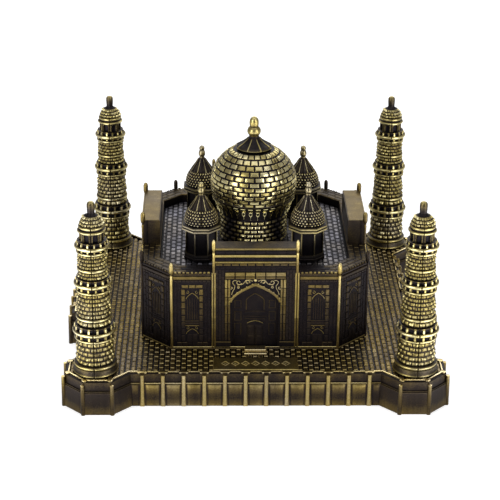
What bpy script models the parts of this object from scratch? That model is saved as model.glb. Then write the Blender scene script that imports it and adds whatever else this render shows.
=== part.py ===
"""Miniature landmark model: a die-cast desk souvenir of a domed hall on a square terrace.

Every sub-part is its own closed solid. The castings screw together from below: the minarets
and the hall onto the plinth, the dome and the kiosks onto the roof deck. Sizes are in
millimetres and become metres when a mesh is made. The origin is the centre of the underside,
+Z is up and the front faces -Y. The upper parts have four equal sides. The plinth's left and
right walls lie a little further in than its front and back, and each carries a porch.
"""

import bmesh
import bpy
from math import cos, pi, radians, sin, sqrt, tan
from mathutils import Matrix, Vector

MM = 0.001
GAP = 0.3                   # clearance between a piece and its neighbour
OVERLAP = 0.4               # how far a joined shape runs into the body it joins
OCTANT = tan(radians(22.5)) # half side of an octagon over its apothem

# Plan
TOWER = 45.8                # minaret axis from the centre, along X and along Y
BASTION_CENTRE = 44.9       # the corner octagons sit slightly inside the minaret axes
BASTION_APOTHEM = 10.4
WALLS = (50.0, 49.0, 50.0, 49.0)    # front, right, back and left walls of the plinth
SIDE_WALLS = (1, 3)         # the walls that have a porch
PORCH = 56.4                # front of a porch from the centre
PORCH_HALF = 9.9

# Plinth heights
SLAB_UNDER = 8.2
TERRACE = 9.7
RIM_TOP = 10.4
LEDGE = 7.0
WALL_THICKNESS = 2.3
LIP_THICKNESS = 1.3         # thin lip around the pad
PAD_THICKNESS = 0.9
RIB_PITCH = 5.9
RIB_WIDTH = 1.05
RIB_PROUD = 0.2
RIB_ROOT = 1.15             # how far a rib runs into the wall behind it
RIB_TOP = 9.3
RIBS_PER_SIDE = 12
CORNER_RIB_RADIUS = 0.6
CORNER_RIB_INSET = 0.4

# Hall
HALL = 33.0                 # facade from the centre
HALL_CHAMFER = 40.6         # corner facet from the centre
HALL_BASE = TERRACE + GAP
HALL_TOP = 34.4
HALL_WALL = 2.0
HALL_FACET_WALL = 4.2       # thicker at the corner facets
LEDGE_WIDTH = 5.2           # wall-top ledge around the sunken roof
SHELF_TOP = 30.3
SHELF_UNDER = 28.3
SHELF_WIDTH = 7.8
BAY_COLUMN_X = 24.3
BAY_COLUMN_TIP = 37.4
PORTAL_HALF = 12.3
PORTAL_DEPTH = 5.0
PORTAL_TOP = 42.0
PORTAL_COLUMN_X = 12.05
PORTAL_COLUMN_TIP = 44.6
COLUMN_RADIUS = 0.55
NICHE_HALF = 6.75
NICHE_SPRING = 25.2
NICHE_APEX = 30.2
NICHE_DEPTH = 1.4
BAY_CENTRE = 18.3
BAY_HALF = 3.2
BAY_PANELS = ((12.3, 17.9), (19.2, 30.4))
PANEL_DEPTH = 0.4
POST = 24.2                 # inner corner posts, along X and along Y
POST_RADIUS = 2.8

# Roof
DECK_TOP = 32.1
KIOSK = 15.7                # kiosk axis from the centre, along X and along Y
DOME_RADIUS = 13.0
DOME_CENTRE = 50.0          # height of the dome's widest circle
DOME_RISE = 11.8            # the crown is a little flatter than a sphere
DOME_BORE = 11.0            # radius of the hollow inside
DRUM_RADIUS = 10.2
DRUM_BORE = 6.6
DOME_SCREW_CIRCLE = 8.3

# Fasteners
SHANK_RADIUS = 0.85
SCREW_HOLE = SHANK_RADIUS + GAP
HEAD_RADIUS = 1.9
HEAD_HEIGHT = 1.2

CORNERS = {
    "front_left": (-1, -1),
    "front_right": (1, -1),
    "back_left": (-1, 1),
    "back_right": (1, 1),
}
CORNER_AXES = [Vector((sx, sy, 0)) for sx, sy in CORNERS.values()]
QUARTER_TURNS = [k * pi / 2 for k in range(4)]


# ---------------------------------------------------------------- scene set-up

def clear_scene():
    for obj in list(bpy.data.objects):
        bpy.data.objects.remove(obj, do_unlink=True)


def new_collection(name):
    collection = bpy.data.collections.new(name)
    bpy.context.scene.collection.children.link(collection)
    return collection


def new_material(name, colour, metallic, roughness):
    material = bpy.data.materials.new(name)
    material.use_nodes = True
    shader = material.node_tree.nodes["Principled BSDF"]
    shader.inputs["Base Color"].default_value = (*colour, 1.0)
    shader.inputs["Metallic"].default_value = metallic
    shader.inputs["Roughness"].default_value = roughness
    return material


def antique(name, shade):
    """Antique bronze plating; shade runs from the dark patina to the rubbed brass."""
    patina = Vector((0.05, 0.04, 0.035))
    brass = Vector((0.50, 0.40, 0.20))
    return new_material(name, tuple(patina.lerp(brass, shade)), 1.0, 0.42)


# ---------------------------------------------------------------- shape helpers

def add_object(name, mesh, collection, material=None):
    obj = bpy.data.objects.new(name, mesh)
    collection.objects.link(obj)
    if material:
        mesh.materials.append(material)
    return obj


def as_cutter(obj):
    obj.hide_render = True
    obj.display_type = "WIRE"
    return obj


def mesh_from(bm, name):
    bmesh.ops.scale(bm, vec=(MM, MM, MM), verts=bm.verts)
    bmesh.ops.recalc_face_normals(bm, faces=bm.faces)
    mesh = bpy.data.meshes.new(name)
    bm.to_mesh(mesh)
    bm.free()
    return mesh


def add_box(bm, low, high, turn=0.0):
    """A box between two corners, turned about the Z axis."""
    low, high = Vector(low), Vector(high)
    place = Matrix.Rotation(turn, 4, "Z") @ Matrix.Translation((low + high) / 2)
    place = place @ Matrix.Diagonal((*(high - low), 1))
    bmesh.ops.create_cube(bm, size=1.0, matrix=place)


def add_cylinder(bm, centre, radius, low, high, segments=12):
    place = Matrix.Translation((centre[0], centre[1], (low + high) / 2))
    bmesh.ops.create_cone(bm, cap_ends=True, segments=segments, radius1=radius,
                          radius2=radius, depth=high - low, matrix=place)


def loft(bm, loops, ring_shaped=False):
    """A closed solid through a stack of outlines that have the same number of points.

    It is capped at both ends, or its last outline joins its first if it is ring-shaped.
    """
    rings = [[bm.verts.new(point) for point in loop] for loop in loops]
    following = rings[1:] + rings[:1] if ring_shaped else rings[1:]
    for below, above in zip(rings, following):
        for i, vertex in enumerate(below):
            j = (i + 1) % len(below)
            bm.faces.new((vertex, below[j], above[j], above[i]))
    if not ring_shaped:
        bm.faces.new(rings[0])
        bm.faces.new(rings[-1])


def turned_mesh(name, profile, segments, collection, material=None, phase=0.0):
    """Turn an (r, z) profile, listed from the top of the outer side down, about Z."""
    mesh = bpy.data.meshes.new(name)
    points = [(r * MM, 0.0, z * MM) for r, z in profile]
    mesh.from_pydata(points, [(i, i + 1) for i in range(len(points) - 1)], [])
    obj = add_object(name, mesh, collection, material)
    screw = obj.modifiers.new("turn", "SCREW")
    screw.angle = 2 * pi
    screw.steps = segments
    screw.render_steps = segments
    screw.use_merge_vertices = True
    screw.merge_threshold = 0.00001
    obj.rotation_euler.z = phase
    return obj


def boolean(obj, operand, operation):
    modifier = obj.modifiers.new(operation.lower(), "BOOLEAN")
    modifier.operation = operation
    modifier.object = operand
    return modifier


def smooth(obj, angle=35.0):
    """Bake the modifiers in and shade the round surfaces smooth."""
    graph = bpy.context.evaluated_depsgraph_get()
    mesh = bpy.data.meshes.new_from_object(obj.evaluated_get(graph), depsgraph=graph)
    mesh.shade_smooth()
    mesh.set_sharp_from_angle(angle=radians(angle))
    obj.modifiers.clear()
    obj.data = mesh


# ---------------------------------------------------------------- outlines

def plinth_outline(offset, z):
    """The walls with octagonal corner bastions and two side porches, grown by offset.

    Each corner, with the wall that follows it, is drawn at the front left and turned.
    """
    apothem = BASTION_APOTHEM + offset
    diagonal = apothem * sqrt(2)
    centre = BASTION_CENTRE
    half = PORCH_HALF + offset
    front = PORCH + offset
    points = []
    for number, turn in enumerate(QUARTER_TURNS):
        before = WALLS[number - 1] + offset
        wall = WALLS[number] + offset
        outline = [
            (-before, diagonal - before),
            (-centre - apothem, -centre + apothem * OCTANT),
            (-centre - apothem, -centre - apothem * OCTANT),
            (-centre - apothem * OCTANT, -centre - apothem),
            (-centre + apothem * OCTANT, -centre - apothem),
            (diagonal - wall, -wall),
        ]
        if number in SIDE_WALLS:
            outline += [(-half, -wall), (-half, -front), (half, -front), (half, -wall)]
        points += [Matrix.Rotation(turn, 3, "Z") @ Vector((x, y, z)) for x, y in outline]
    return points


def hall_outline(inset, z, chamfer_inset=None):
    """The hall's square plan with faceted corners, moved inward by inset."""
    side = HALL - inset
    facet = HALL_CHAMFER - (inset if chamfer_inset is None else chamfer_inset)
    shoulder = facet * sqrt(2) - side
    corner = [(-side, -shoulder), (-shoulder, -side)]
    return [Matrix.Rotation(turn, 3, "Z") @ Vector((x, y, z))
            for turn in QUARTER_TURNS for x, y in corner]


def arch_points(half_width, foot, spring, apex, steps=7):
    """A pointed arch opening as (x, z) points: straight jambs, then two swept haunches."""
    right = [(half_width, foot)]
    for step in range(steps + 1):
        s = step / steps
        right.append((half_width * (1 - s * s), spring + (apex - spring) * s ** 1.4))
    left = [(-x, z) for x, z in reversed(right[:-1])]
    return right + left


def add_arch_prism(bm, points, y_near, y_far, turn):
    rotate = Matrix.Rotation(turn, 3, "Z")
    loft(bm, [[rotate @ Vector((x, y, z)) for x, z in points] for y in (y_near, y_far)])


# ---------------------------------------------------------------- plinth

def plinth_shell():
    """Tray open below: rabbet for the pad, flared wall, ledge, rim and terrace floor."""
    bm = bmesh.new()
    levels = (
        (SLAB_UNDER, -WALL_THICKNESS),
        (PAD_THICKNESS + GAP, -WALL_THICKNESS),
        (PAD_THICKNESS + GAP, -LIP_THICKNESS),
        (0.0, -LIP_THICKNESS),
        (0.0, 0.0),
        (LEDGE - 0.1, -0.35),
        (LEDGE + 0.1, -0.85),
        (TERRACE - 0.3, -0.85),
        (TERRACE, -0.3),
        (RIM_TOP, -0.3),
        (RIM_TOP, -1.35),
        (TERRACE, -1.35),
    )
    loft(bm, [plinth_outline(offset, z) for z, offset in levels])
    return mesh_from(bm, "plinth")


def rib_places(number):
    """The ribs of one wall as (x, distance); the middle ones of a side wall are its porch's."""
    first = -RIB_PITCH * (RIBS_PER_SIDE - 1) / 2
    places = [(first + k * RIB_PITCH, WALLS[number]) for k in range(RIBS_PER_SIDE)]
    if number in SIDE_WALLS:
        places = [(x, wall) for x, wall in places if abs(x) > PORCH_HALF]
        places += [(-PORCH_HALF / 3, PORCH), (PORCH_HALF / 3, PORCH)]
    return places


def corner_rib_places(number):
    """The free corners of one bastion, and of the porch beyond it, for round ribs."""
    corners = [(point.x, point.y) for point in plinth_outline(-CORNER_RIB_INSET, 0)[1:5]]
    if number in SIDE_WALLS:
        half, front = PORCH_HALF - CORNER_RIB_INSET, PORCH - CORNER_RIB_INSET
        corners += [(-half, -front), (half, -front)]
    return corners


def plinth_ribs():
    """Pilaster ribs along the walls and porches and at the free corners."""
    bm = bmesh.new()
    for number, turn in enumerate(QUARTER_TURNS):
        for x, distance in rib_places(number):
            add_box(bm, (x - RIB_WIDTH / 2, -distance - RIB_PROUD, 0),
                    (x + RIB_WIDTH / 2, -distance + RIB_ROOT, RIB_TOP), turn)
        for x, y in corner_rib_places(number):
            rotated = Matrix.Rotation(turn, 3, "Z") @ Vector((x, y, 0))
            add_cylinder(bm, rotated, CORNER_RIB_RADIUS, 0, RIB_TOP, segments=8)
    return mesh_from(bm, "plinth_ribs")


def plinth_fittings():
    """Minaret seats below the slab, and the step in front of the entrance."""
    bm = bmesh.new()
    for axis in CORNER_AXES:
        add_cylinder(bm, axis * TOWER, 5.2, SLAB_UNDER - 3.6, SLAB_UNDER + OVERLAP, 16)
    step_front = HALL + 3.6
    add_box(bm, (-3.3, -step_front, TERRACE - OVERLAP), (3.3, -HALL - 1.0, TERRACE + 0.9))
    return mesh_from(bm, "plinth_fittings")


def plinth_cuts():
    """Minaret sockets, screw holes and the shallow pocket for the plaque."""
    bm = bmesh.new()
    for axis in CORNER_AXES:
        add_cylinder(bm, axis * TOWER, 3.5, TERRACE - 2.2, TERRACE + 1, 16)
        add_cylinder(bm, axis * TOWER, SCREW_HOLE, SLAB_UNDER - 5, TERRACE - 2.0)
        add_cylinder(bm, axis * POST, SCREW_HOLE, SLAB_UNDER - 1, TERRACE + 1)
    low, high = plaque_box()
    add_box(bm, low - Vector((GAP, GAP, GAP)), high + Vector((GAP, GAP, 1)))
    return mesh_from(bm, "plinth_cuts")


def plaque_box():
    return Vector((-12.2, -46.9, TERRACE - 0.3)), Vector((12.2, -39.4, TERRACE + 0.55))


def build_plinth(parts, cutters):
    obj = add_object("plinth", plinth_shell(), parts, antique("plinth_bronze", 0.35))
    ribs = as_cutter(add_object("plinth_ribs_shape", plinth_ribs(), cutters))
    fittings = as_cutter(add_object("plinth_fittings_shape", plinth_fittings(), cutters))
    cuts = as_cutter(add_object("plinth_cuts", plinth_cuts(), cutters))
    boolean(obj, ribs, "UNION").use_self = True
    boolean(obj, fittings, "UNION")
    boolean(obj, cuts, "DIFFERENCE").use_self = True


def build_base_pad(parts):
    bm = bmesh.new()
    edge = -LIP_THICKNESS - GAP
    loft(bm, [plinth_outline(edge, 0.0), plinth_outline(edge, PAD_THICKNESS)])
    felt = new_material("pad_felt", (0.02, 0.02, 0.022), 0.0, 0.95)
    add_object("base_pad", mesh_from(bm, "base_pad"), parts, felt)


def build_nameplate(parts):
    bm = bmesh.new()
    add_box(bm, *plaque_box())
    obj = add_object("nameplate", mesh_from(bm, "nameplate"), parts,
                     antique("plaque_bronze", 0.5))
    bevel = obj.modifiers.new("edge", "BEVEL")
    bevel.width = 0.2 * MM
    bevel.segments = 2


# ---------------------------------------------------------------- hall

def hall_shell():
    """Faceted wall ring: hollow below, a shelf for the roof deck, a sunken roof above."""
    bm = bmesh.new()
    loft(bm, [
        hall_outline(HALL_WALL, HALL_BASE, HALL_FACET_WALL),
        hall_outline(0, HALL_BASE),
        hall_outline(0, HALL_TOP),
        hall_outline(LEDGE_WIDTH, HALL_TOP),
        hall_outline(LEDGE_WIDTH, SHELF_TOP),
        hall_outline(SHELF_WIDTH, SHELF_TOP),
        hall_outline(SHELF_WIDTH, SHELF_UNDER),
        hall_outline(HALL_WALL, SHELF_UNDER, HALL_FACET_WALL),
    ], ring_shaped=True)
    return mesh_from(bm, "hall_walls")


def hall_additions():
    """Portals, engaged columns with rounded tips, and the four inner posts."""
    bm = bmesh.new()
    for turn in QUARTER_TURNS:
        add_box(bm, (-PORTAL_HALF, -HALL - 0.2, HALL_BASE),
                (PORTAL_HALF, -HALL + PORTAL_DEPTH, PORTAL_TOP), turn)
    for axis in CORNER_AXES:
        add_cylinder(bm, axis * POST, POST_RADIUS, HALL_BASE, SHELF_TOP)
    return mesh_from(bm, "hall_additions")


def hall_columns():
    bm = bmesh.new()
    columns = [(sign * x, tip) for sign in (-1, 1)
               for x, tip in ((BAY_COLUMN_X, BAY_COLUMN_TIP), (PORTAL_COLUMN_X, PORTAL_COLUMN_TIP))]
    for turn in QUARTER_TURNS:
        for x, tip in columns:
            centre = Matrix.Rotation(turn, 3, "Z") @ Vector((x, -HALL - 0.1, 0))
            r = COLUMN_RADIUS
            outline = ((r, HALL_BASE), (r, tip - r), (r * 0.3, tip))
            loft(bm, [[centre + Vector((radius * cos(a), radius * sin(a), z))
                       for a in (2 * pi * k / 8 for k in range(8))] for radius, z in outline])
    return mesh_from(bm, "hall_columns")


def hall_cuts():
    """Pointed portal niches, recessed bay and facet panels, and the blind post holes."""
    bm = bmesh.new()
    niche = arch_points(NICHE_HALF, HALL_BASE + 0.6, NICHE_SPRING, NICHE_APEX)
    for turn in QUARTER_TURNS:
        add_arch_prism(bm, niche, -HALL - 1, -HALL - 0.2 + NICHE_DEPTH, turn)
        for low, high in BAY_PANELS:
            for centre in (-BAY_CENTRE, BAY_CENTRE):
                add_box(bm, (centre - BAY_HALF, -HALL - 1, low),
                        (centre + BAY_HALF, -HALL + PANEL_DEPTH, high), turn)
            add_box(bm, (-BAY_HALF, -HALL_CHAMFER - 1, low),
                    (BAY_HALF, -HALL_CHAMFER + PANEL_DEPTH, high), turn + pi / 4)
    for axis in CORNER_AXES:
        add_cylinder(bm, axis * POST, SCREW_HOLE, HALL_BASE - 1, HALL_BASE + 7, 12)
        add_cylinder(bm, axis * POST, 1.0 + GAP, SHELF_TOP - 2.4, SHELF_TOP + 1, 12)
    return mesh_from(bm, "hall_cuts")


def build_hall(parts, cutters):
    obj = add_object("hall_walls", hall_shell(), parts, antique("hall_bronze", 0.15))
    additions = as_cutter(add_object("hall_additions", hall_additions(), cutters))
    columns = as_cutter(add_object("hall_columns", hall_columns(), cutters))
    cuts = as_cutter(add_object("hall_cuts", hall_cuts(), cutters))
    boolean(obj, additions, "UNION")
    boolean(obj, cuts, "DIFFERENCE")
    boolean(obj, columns, "UNION")


# ---------------------------------------------------------------- roof

def dome_screw_places():
    return [Vector((DOME_SCREW_CIRCLE * cos(a), DOME_SCREW_CIRCLE * sin(a), 0))
            for a in (pi / 2 + 2 * pi * k / 3 for k in range(3))]


def build_roof_deck(parts, cutters):
    """Faceted plate that rests on the hall's shelf, pegged at its four corners."""
    bm = bmesh.new()
    inset = LEDGE_WIDTH + GAP
    loft(bm, [hall_outline(inset, SHELF_TOP + GAP), hall_outline(inset, DECK_TOP)])
    obj = add_object("roof_deck", mesh_from(bm, "roof_deck"), parts,
                     antique("deck_bronze", 0.2))
    pegs = bmesh.new()
    for axis in CORNER_AXES:
        add_cylinder(pegs, axis * POST, 1.0, SHELF_TOP - 1.9, SHELF_TOP + GAP + OVERLAP, 12)
    holes = bmesh.new()
    for place in [axis * KIOSK for axis in CORNER_AXES] + dome_screw_places():
        add_cylinder(holes, place, SCREW_HOLE, SHELF_TOP - 1, DECK_TOP + 1, 12)
    boolean(obj, as_cutter(add_object("deck_pegs", mesh_from(pegs, "deck_pegs"), cutters)),
            "UNION")
    boolean(obj, as_cutter(add_object("deck_holes", mesh_from(holes, "deck_holes"), cutters)),
            "DIFFERENCE")


def dome_profile(radius, first, last, steps):
    """Points up or down the dome's side, by angle in degrees from its widest circle."""
    angles = [radians(first + (last - first) * k / steps) for k in range(steps + 1)]
    crown = DOME_RISE / DOME_RADIUS
    return [(radius * cos(a), DOME_CENTRE + radius * sin(a) * (crown if a > 0 else 1.0))
            for a in angles]


def bulb_profile(radius, centre_z, steps=4):
    """The outer side of a finial bulb, from its upper waist to its lower waist."""
    angles = [radians(52 - 104 * k / steps) for k in range(steps + 1)]
    return [(radius * cos(a), centre_z + radius * sin(a)) for a in angles]


def build_dome(parts, cutters):
    """Hollow casting: lobed finial, lotus cap, bulbous dome and its drum."""
    drum_foot = DECK_TOP + GAP
    outer = [(0.0, 70.4), (0.6, 70.25), (1.15, 69.7), (1.4, 68.7), (1.25, 67.7)]
    outer += bulb_profile(2.1, 65.9)
    outer += [(1.45, 63.7), (2.3, 62.7), (5.3, 61.1), (5.4, 60.8)]
    outer += dome_profile(DOME_RADIUS, 62, -26, 8)
    outer += [(11.2, 43.9), (10.6, 41.2), (DRUM_RADIUS, 40.7), (DRUM_RADIUS, drum_foot)]
    inner = [(DRUM_BORE, drum_foot), (DRUM_BORE, 41.0)]
    inner += dome_profile(DOME_BORE, -48, 78, 5)
    inner += [(0.0, DOME_CENTRE + DOME_BORE * DOME_RISE / DOME_RADIUS)]
    obj = turned_mesh("main_dome", outer + inner, 24, parts, antique("dome_brass", 0.85))
    holes = bmesh.new()
    for place in dome_screw_places():
        add_cylinder(holes, place, SCREW_HOLE, drum_foot - 1, drum_foot + 6, 12)
    boolean(obj, as_cutter(add_object("dome_holes", mesh_from(holes, "dome_holes"), cutters)),
            "DIFFERENCE")
    smooth(obj)


def kiosk_body_mesh():
    """Eight-sided chamber with a recessed panel between the pillars on every side."""
    bm = bmesh.new()
    apothem = 4.7
    radius = apothem / cos(radians(22.5))
    turn = Matrix.Rotation(radians(22.5), 4, "Z")
    foot = DECK_TOP + GAP
    place = Matrix.Translation((0, 0, (foot + 41.6) / 2)) @ turn
    bmesh.ops.create_cone(bm, cap_ends=True, segments=8, radius1=radius, radius2=radius,
                          depth=41.6 - foot, matrix=place)
    sides = [face for face in bm.faces if abs(face.normal.z) < 0.5]
    bmesh.ops.inset_individual(bm, faces=sides, thickness=0.7, depth=0.0)
    bmesh.ops.inset_individual(bm, faces=sides, thickness=0.05, depth=-0.45)
    return mesh_from(bm, "kiosk_body")


def kiosk_solid(parts, cutters):
    """One kiosk at the origin of its plan: chamber, eave, ogee dome and finial."""
    obj = add_object("kiosk", kiosk_body_mesh(), parts)
    corner = 1 / cos(radians(22.5))
    eave = [(0.0, 43.2), (5.2 * corner, 43.1), (5.5 * corner, 42.75), (5.3 * corner, 42.3),
            (5.6 * corner, 41.95), (5.6 * corner, 41.5), (4.4 * corner, 41.3), (0.0, 41.3)]
    eave_obj = as_cutter(turned_mesh("kiosk_eave", eave, 8, cutters, phase=radians(22.5)))
    cap = [(0.0, 55.5), (0.5, 55.35), (0.85, 54.75), (0.75, 54.1)]
    cap += bulb_profile(1.3, 53.1, 3)
    cap += [(0.95, 51.3), (1.5, 50.6), (2.9, 49.0), (4.2, 46.8), (4.95, 44.6), (5.05, 43.1),
            (4.9, 42.6), (0.0, 42.6)]
    cap_obj = as_cutter(turned_mesh("kiosk_cap", cap, 12, cutters))
    hole = bmesh.new()
    add_cylinder(hole, (0, 0), SCREW_HOLE, DECK_TOP - 1, DECK_TOP + 7, 12)
    hole_obj = as_cutter(add_object("kiosk_hole", mesh_from(hole, "kiosk_hole"), cutters))
    boolean(obj, eave_obj, "UNION")
    boolean(obj, cap_obj, "UNION")
    boolean(obj, hole_obj, "DIFFERENCE")
    smooth(obj)
    return obj


# ---------------------------------------------------------------- minarets

def balcony(ring_radius, torus_radius, parapet_radius, foot, torus_z, top):
    """Profile of one balcony, top down: parapet, torus rail, bracket band, lower ring."""
    return [
        (parapet_radius, top),
        (parapet_radius, torus_z + 0.65),
        (torus_radius, torus_z + 0.2),
        (torus_radius, torus_z - 0.3),
        (parapet_radius - 0.1, torus_z - 0.8),
        (ring_radius, foot),
    ]


def ringed_shaft(top_radius, top, ring_radius, ring_z, foot_radius, foot):
    """Profile of one tapering shaft with a ring around it, top down."""
    return [(top_radius, top), (ring_radius - 0.35, ring_z + 0.6), (ring_radius, ring_z),
            (ring_radius - 0.25, ring_z - 0.6), (foot_radius, foot)]


def minaret_profile():
    """Outer side from the finial tip down, then the spigot and the screw bore."""
    profile = [(0.0, 61.6), (0.85, 61.3), (1.15, 60.4), (1.15, 58.3)]
    profile += [(2.0, 57.6), (2.95, 56.5), (3.35, 55.0), (4.0, 53.5), (3.4, 52.8),
                (3.4, 50.4)]
    profile += balcony(4.3, 4.95, 4.4, 46.9, 48.7, 50.4)
    profile += ringed_shaft(3.85, 46.5, 4.33, 42.0, 4.15, 39.3)
    profile += balcony(4.95, 5.44, 4.95, 35.1, 37.5, 39.3)
    profile += ringed_shaft(4.45, 34.6, 5.09, 27.2, 4.85, 25.0)
    profile += balcony(5.6, 6.22, 5.7, 19.7, 23.0, 25.0)
    profile += [(5.2, 19.2), (5.4, 13.1), (6.2, 12.3), (6.6, 11.3), (6.6, HALL_BASE)]
    spigot_foot = TERRACE - 1.8
    profile += [(3.2, HALL_BASE), (3.2, spigot_foot), (SCREW_HOLE, spigot_foot),
                (SCREW_HOLE, 18.0), (0.0, 18.6)]
    return profile


# ---------------------------------------------------------------- screws

def screw_profile(head_top, tip):
    """Pan head below, shank above with a blunt cone point; (r, z) from the tip down."""
    return [(0.0, tip), (SHANK_RADIUS, tip - 1.0), (SHANK_RADIUS, head_top),
            (HEAD_RADIUS, head_top), (HEAD_RADIUS, head_top - HEAD_HEIGHT * 0.6),
            (HEAD_RADIUS * 0.6, head_top - HEAD_HEIGHT), (0.0, head_top - HEAD_HEIGHT)]


def build_screw_set(names, places, head_top, tip, parts, steel):
    """Identical screws that share one mesh."""
    first = turned_mesh(names[0], screw_profile(head_top, tip), 10, parts, steel)
    smooth(first, 50)
    place_copies(first, names, places, parts)


def place_copies(first, names, places, parts):
    """Name the first object and place further objects that share its mesh."""
    first.name = names[0]
    first.location = places[0] * MM
    for name, place in zip(names[1:], places[1:]):
        copy = bpy.data.objects.new(name, first.data)
        copy.location = place * MM
        parts.objects.link(copy)


# ---------------------------------------------------------------- assembly

def build_minarets(parts):
    names = [f"minaret_{corner}" for corner in CORNERS]
    first = turned_mesh(names[0], minaret_profile(), 14, parts, antique("minaret_brass", 0.7))
    smooth(first)
    place_copies(first, names, [axis * TOWER for axis in CORNER_AXES], parts)


def build_kiosks(parts, cutters):
    names = [f"kiosk_{corner}" for corner in CORNERS]
    first = kiosk_solid(parts, cutters)
    first.data.materials.clear()
    first.data.materials.append(antique("kiosk_bronze", 0.45))
    place_copies(first, names, [axis * KIOSK for axis in CORNER_AXES], parts)


def build_screws(parts):
    steel = new_material("screw_steel", (0.55, 0.55, 0.56), 1.0, 0.35)
    corners = list(CORNERS)
    seat_under = SLAB_UNDER - 3.6
    build_screw_set([f"minaret_screw_{c}" for c in corners], [a * TOWER for a in CORNER_AXES],
                    seat_under - GAP, 16.5, parts, steel)
    build_screw_set([f"hall_screw_{c}" for c in corners], [a * POST for a in CORNER_AXES],
                    SLAB_UNDER - GAP, HALL_BASE + 6, parts, steel)
    build_screw_set([f"kiosk_screw_{c}" for c in corners], [a * KIOSK for a in CORNER_AXES],
                    SHELF_TOP, DECK_TOP + 5.5, parts, steel)
    build_screw_set([f"dome_screw_{k + 1}" for k in range(3)], dome_screw_places(),
                    SHELF_TOP, DECK_TOP + 5, parts, steel)


def main():
    clear_scene()
    parts = new_collection("miniature_landmark_model")
    cutters = new_collection("cutters")
    build_plinth(parts, cutters)
    build_base_pad(parts)
    build_nameplate(parts)
    build_hall(parts, cutters)
    build_roof_deck(parts, cutters)
    build_dome(parts, cutters)
    build_kiosks(parts, cutters)
    build_minarets(parts)
    build_screws(parts)


main()
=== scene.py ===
"""Looks of the miniature landmark model: fine castings in antique bronze around the CAD frame.

Every visible casting is rebuilt here with its brickwork, relief and worn finish, in the place
of its CAD node. Sizes are in millimetres and become metres when a mesh is made. The front
faces -Y. Each point carries a wear value, from 0 in a dark recess to 1 on a rubbed edge, and
the bronze material turns that value into colour, metal and polish. In a few places the value
also holds painted light and shade: the drum and collar are darker behind the kiosks, the
front ledge is darkened as the kiosks' shadow, and the side portals' tops are lighter as a
painted reflection.
"""

from math import cos, pi, radians, sin, sqrt, tan

import bmesh
import bpy
import numpy as np
from mathutils import Matrix, Vector


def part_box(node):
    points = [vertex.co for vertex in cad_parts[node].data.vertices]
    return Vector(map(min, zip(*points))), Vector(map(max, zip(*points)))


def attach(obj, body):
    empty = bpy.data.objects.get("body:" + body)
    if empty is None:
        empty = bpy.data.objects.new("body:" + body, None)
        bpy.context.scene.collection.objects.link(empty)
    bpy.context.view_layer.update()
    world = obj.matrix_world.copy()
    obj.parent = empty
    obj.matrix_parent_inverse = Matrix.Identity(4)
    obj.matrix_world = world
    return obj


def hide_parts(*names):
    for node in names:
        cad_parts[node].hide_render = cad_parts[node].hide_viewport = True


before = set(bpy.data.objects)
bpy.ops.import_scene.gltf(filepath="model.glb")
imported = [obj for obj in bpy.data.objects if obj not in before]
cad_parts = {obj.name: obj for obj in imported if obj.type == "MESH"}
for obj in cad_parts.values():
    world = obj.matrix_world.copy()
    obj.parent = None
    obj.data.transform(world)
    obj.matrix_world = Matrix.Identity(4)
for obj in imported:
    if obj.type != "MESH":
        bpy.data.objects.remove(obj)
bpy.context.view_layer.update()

MM = 0.001
CORNERS = {"front_left": (-1, -1), "front_right": (1, -1),
           "back_left": (-1, 1), "back_right": (1, 1)}
QUARTER_TURNS = [k * pi / 2 for k in range(4)]
OCTANT = tan(radians(22.5))     # half side of an octagon over its apothem


def node_box(node):
    low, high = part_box(node)
    return low / MM, high / MM


def node_centre(node):
    low, high = node_box(node)
    return (low + high) / 2


# Sizes taken from the frame
PLINTH_SIDE, PLINTH_HALF = node_box("plinth")[1].xy
PAD_TOP = node_box("base_pad")[1].z
PLAQUE_LOW, PLAQUE_HIGH = node_box("nameplate")
HALL_LOW, HALL_HIGH = node_box("hall_walls")
DECK_TOP = node_box("roof_deck")[1].z
DOME_LOW, DOME_HIGH = node_box("main_dome")
KIOSK = node_centre("kiosk_front_right").x
KIOSK_LOW, KIOSK_HIGH = node_box("kiosk_front_right")
TOWER = node_centre("minaret_front_right").x
TOWER_TOP = node_box("minaret_front_right")[1].z

# Plinth, worked out from its width
WALLS = tuple(PLINTH_HALF - back for back in (5.5, 6.5, 5.5, 6.5))  # front, right, back, left
SIDE_WALLS = (1, 3)             # the walls that have a porch
PORCH = PLINTH_SIDE - 0.2
PORCH_HALF = 9.9
BASTION_CENTRE = TOWER - 0.9
BASTION_APOTHEM = PLINTH_HALF - BASTION_CENTRE - 0.2
HALL_FOOT = HALL_LOW.z
TERRACE = HALL_FOOT - 0.3
RIM_TOP = TERRACE + 0.7
RIM_SETBACK = 1.8               # from the wall's foot to the rim's outer edge between capitals
CAPITAL_HALF = 1.35
LEDGE = 7.0
RIB_PITCH = 5.9
RIB_WIDTH = 1.05
RIB_TOP = TERRACE + 0.1
RIBS_PER_SIDE = 12
PAVER_WIDTH = 1.6
PAVER_LENGTH = 2.8

# Hall
HALL = HALL_HIGH.x - 0.65
COLUMN_RADIUS = 0.42
HALL_CHAMFER = HALL + 7.6
HALL_TOP = DECK_TOP + 2.3
LEDGE_WIDTH = 5.2
PORTAL_HALF = 12.3
PORTAL_TOP = HALL_HIGH.z - 2.6
PORTAL_DEPTH = 5.0
NICHE_HALF = 6.75
NICHE_SPRING = 25.2
NICHE_APEX = 30.2
NICHE_DEPTH = 1.4
FRAME_HALF = 8.85               # of the gold blocks around the niche
BRICK_FOOT = 12.5
BAY_CENTRE = 18.3
BAY_COLUMN_X = 24.3
BAY_COLUMN_TOP = 37.4
PORTAL_COLUMN_X = 12.05
WALL_HEAD_NEAR = 12.9           # the wall's head runs from the portal to the corner column
WALL_HEAD_FAR = 23.75
FACET_HALF = 5.9

# Minaret balconies: (foot, rail, top)
BALCONIES = ((20.45, 23.0, 25.0), (35.1, 37.5, 39.3), (46.7, 48.7, 50.4))

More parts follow.
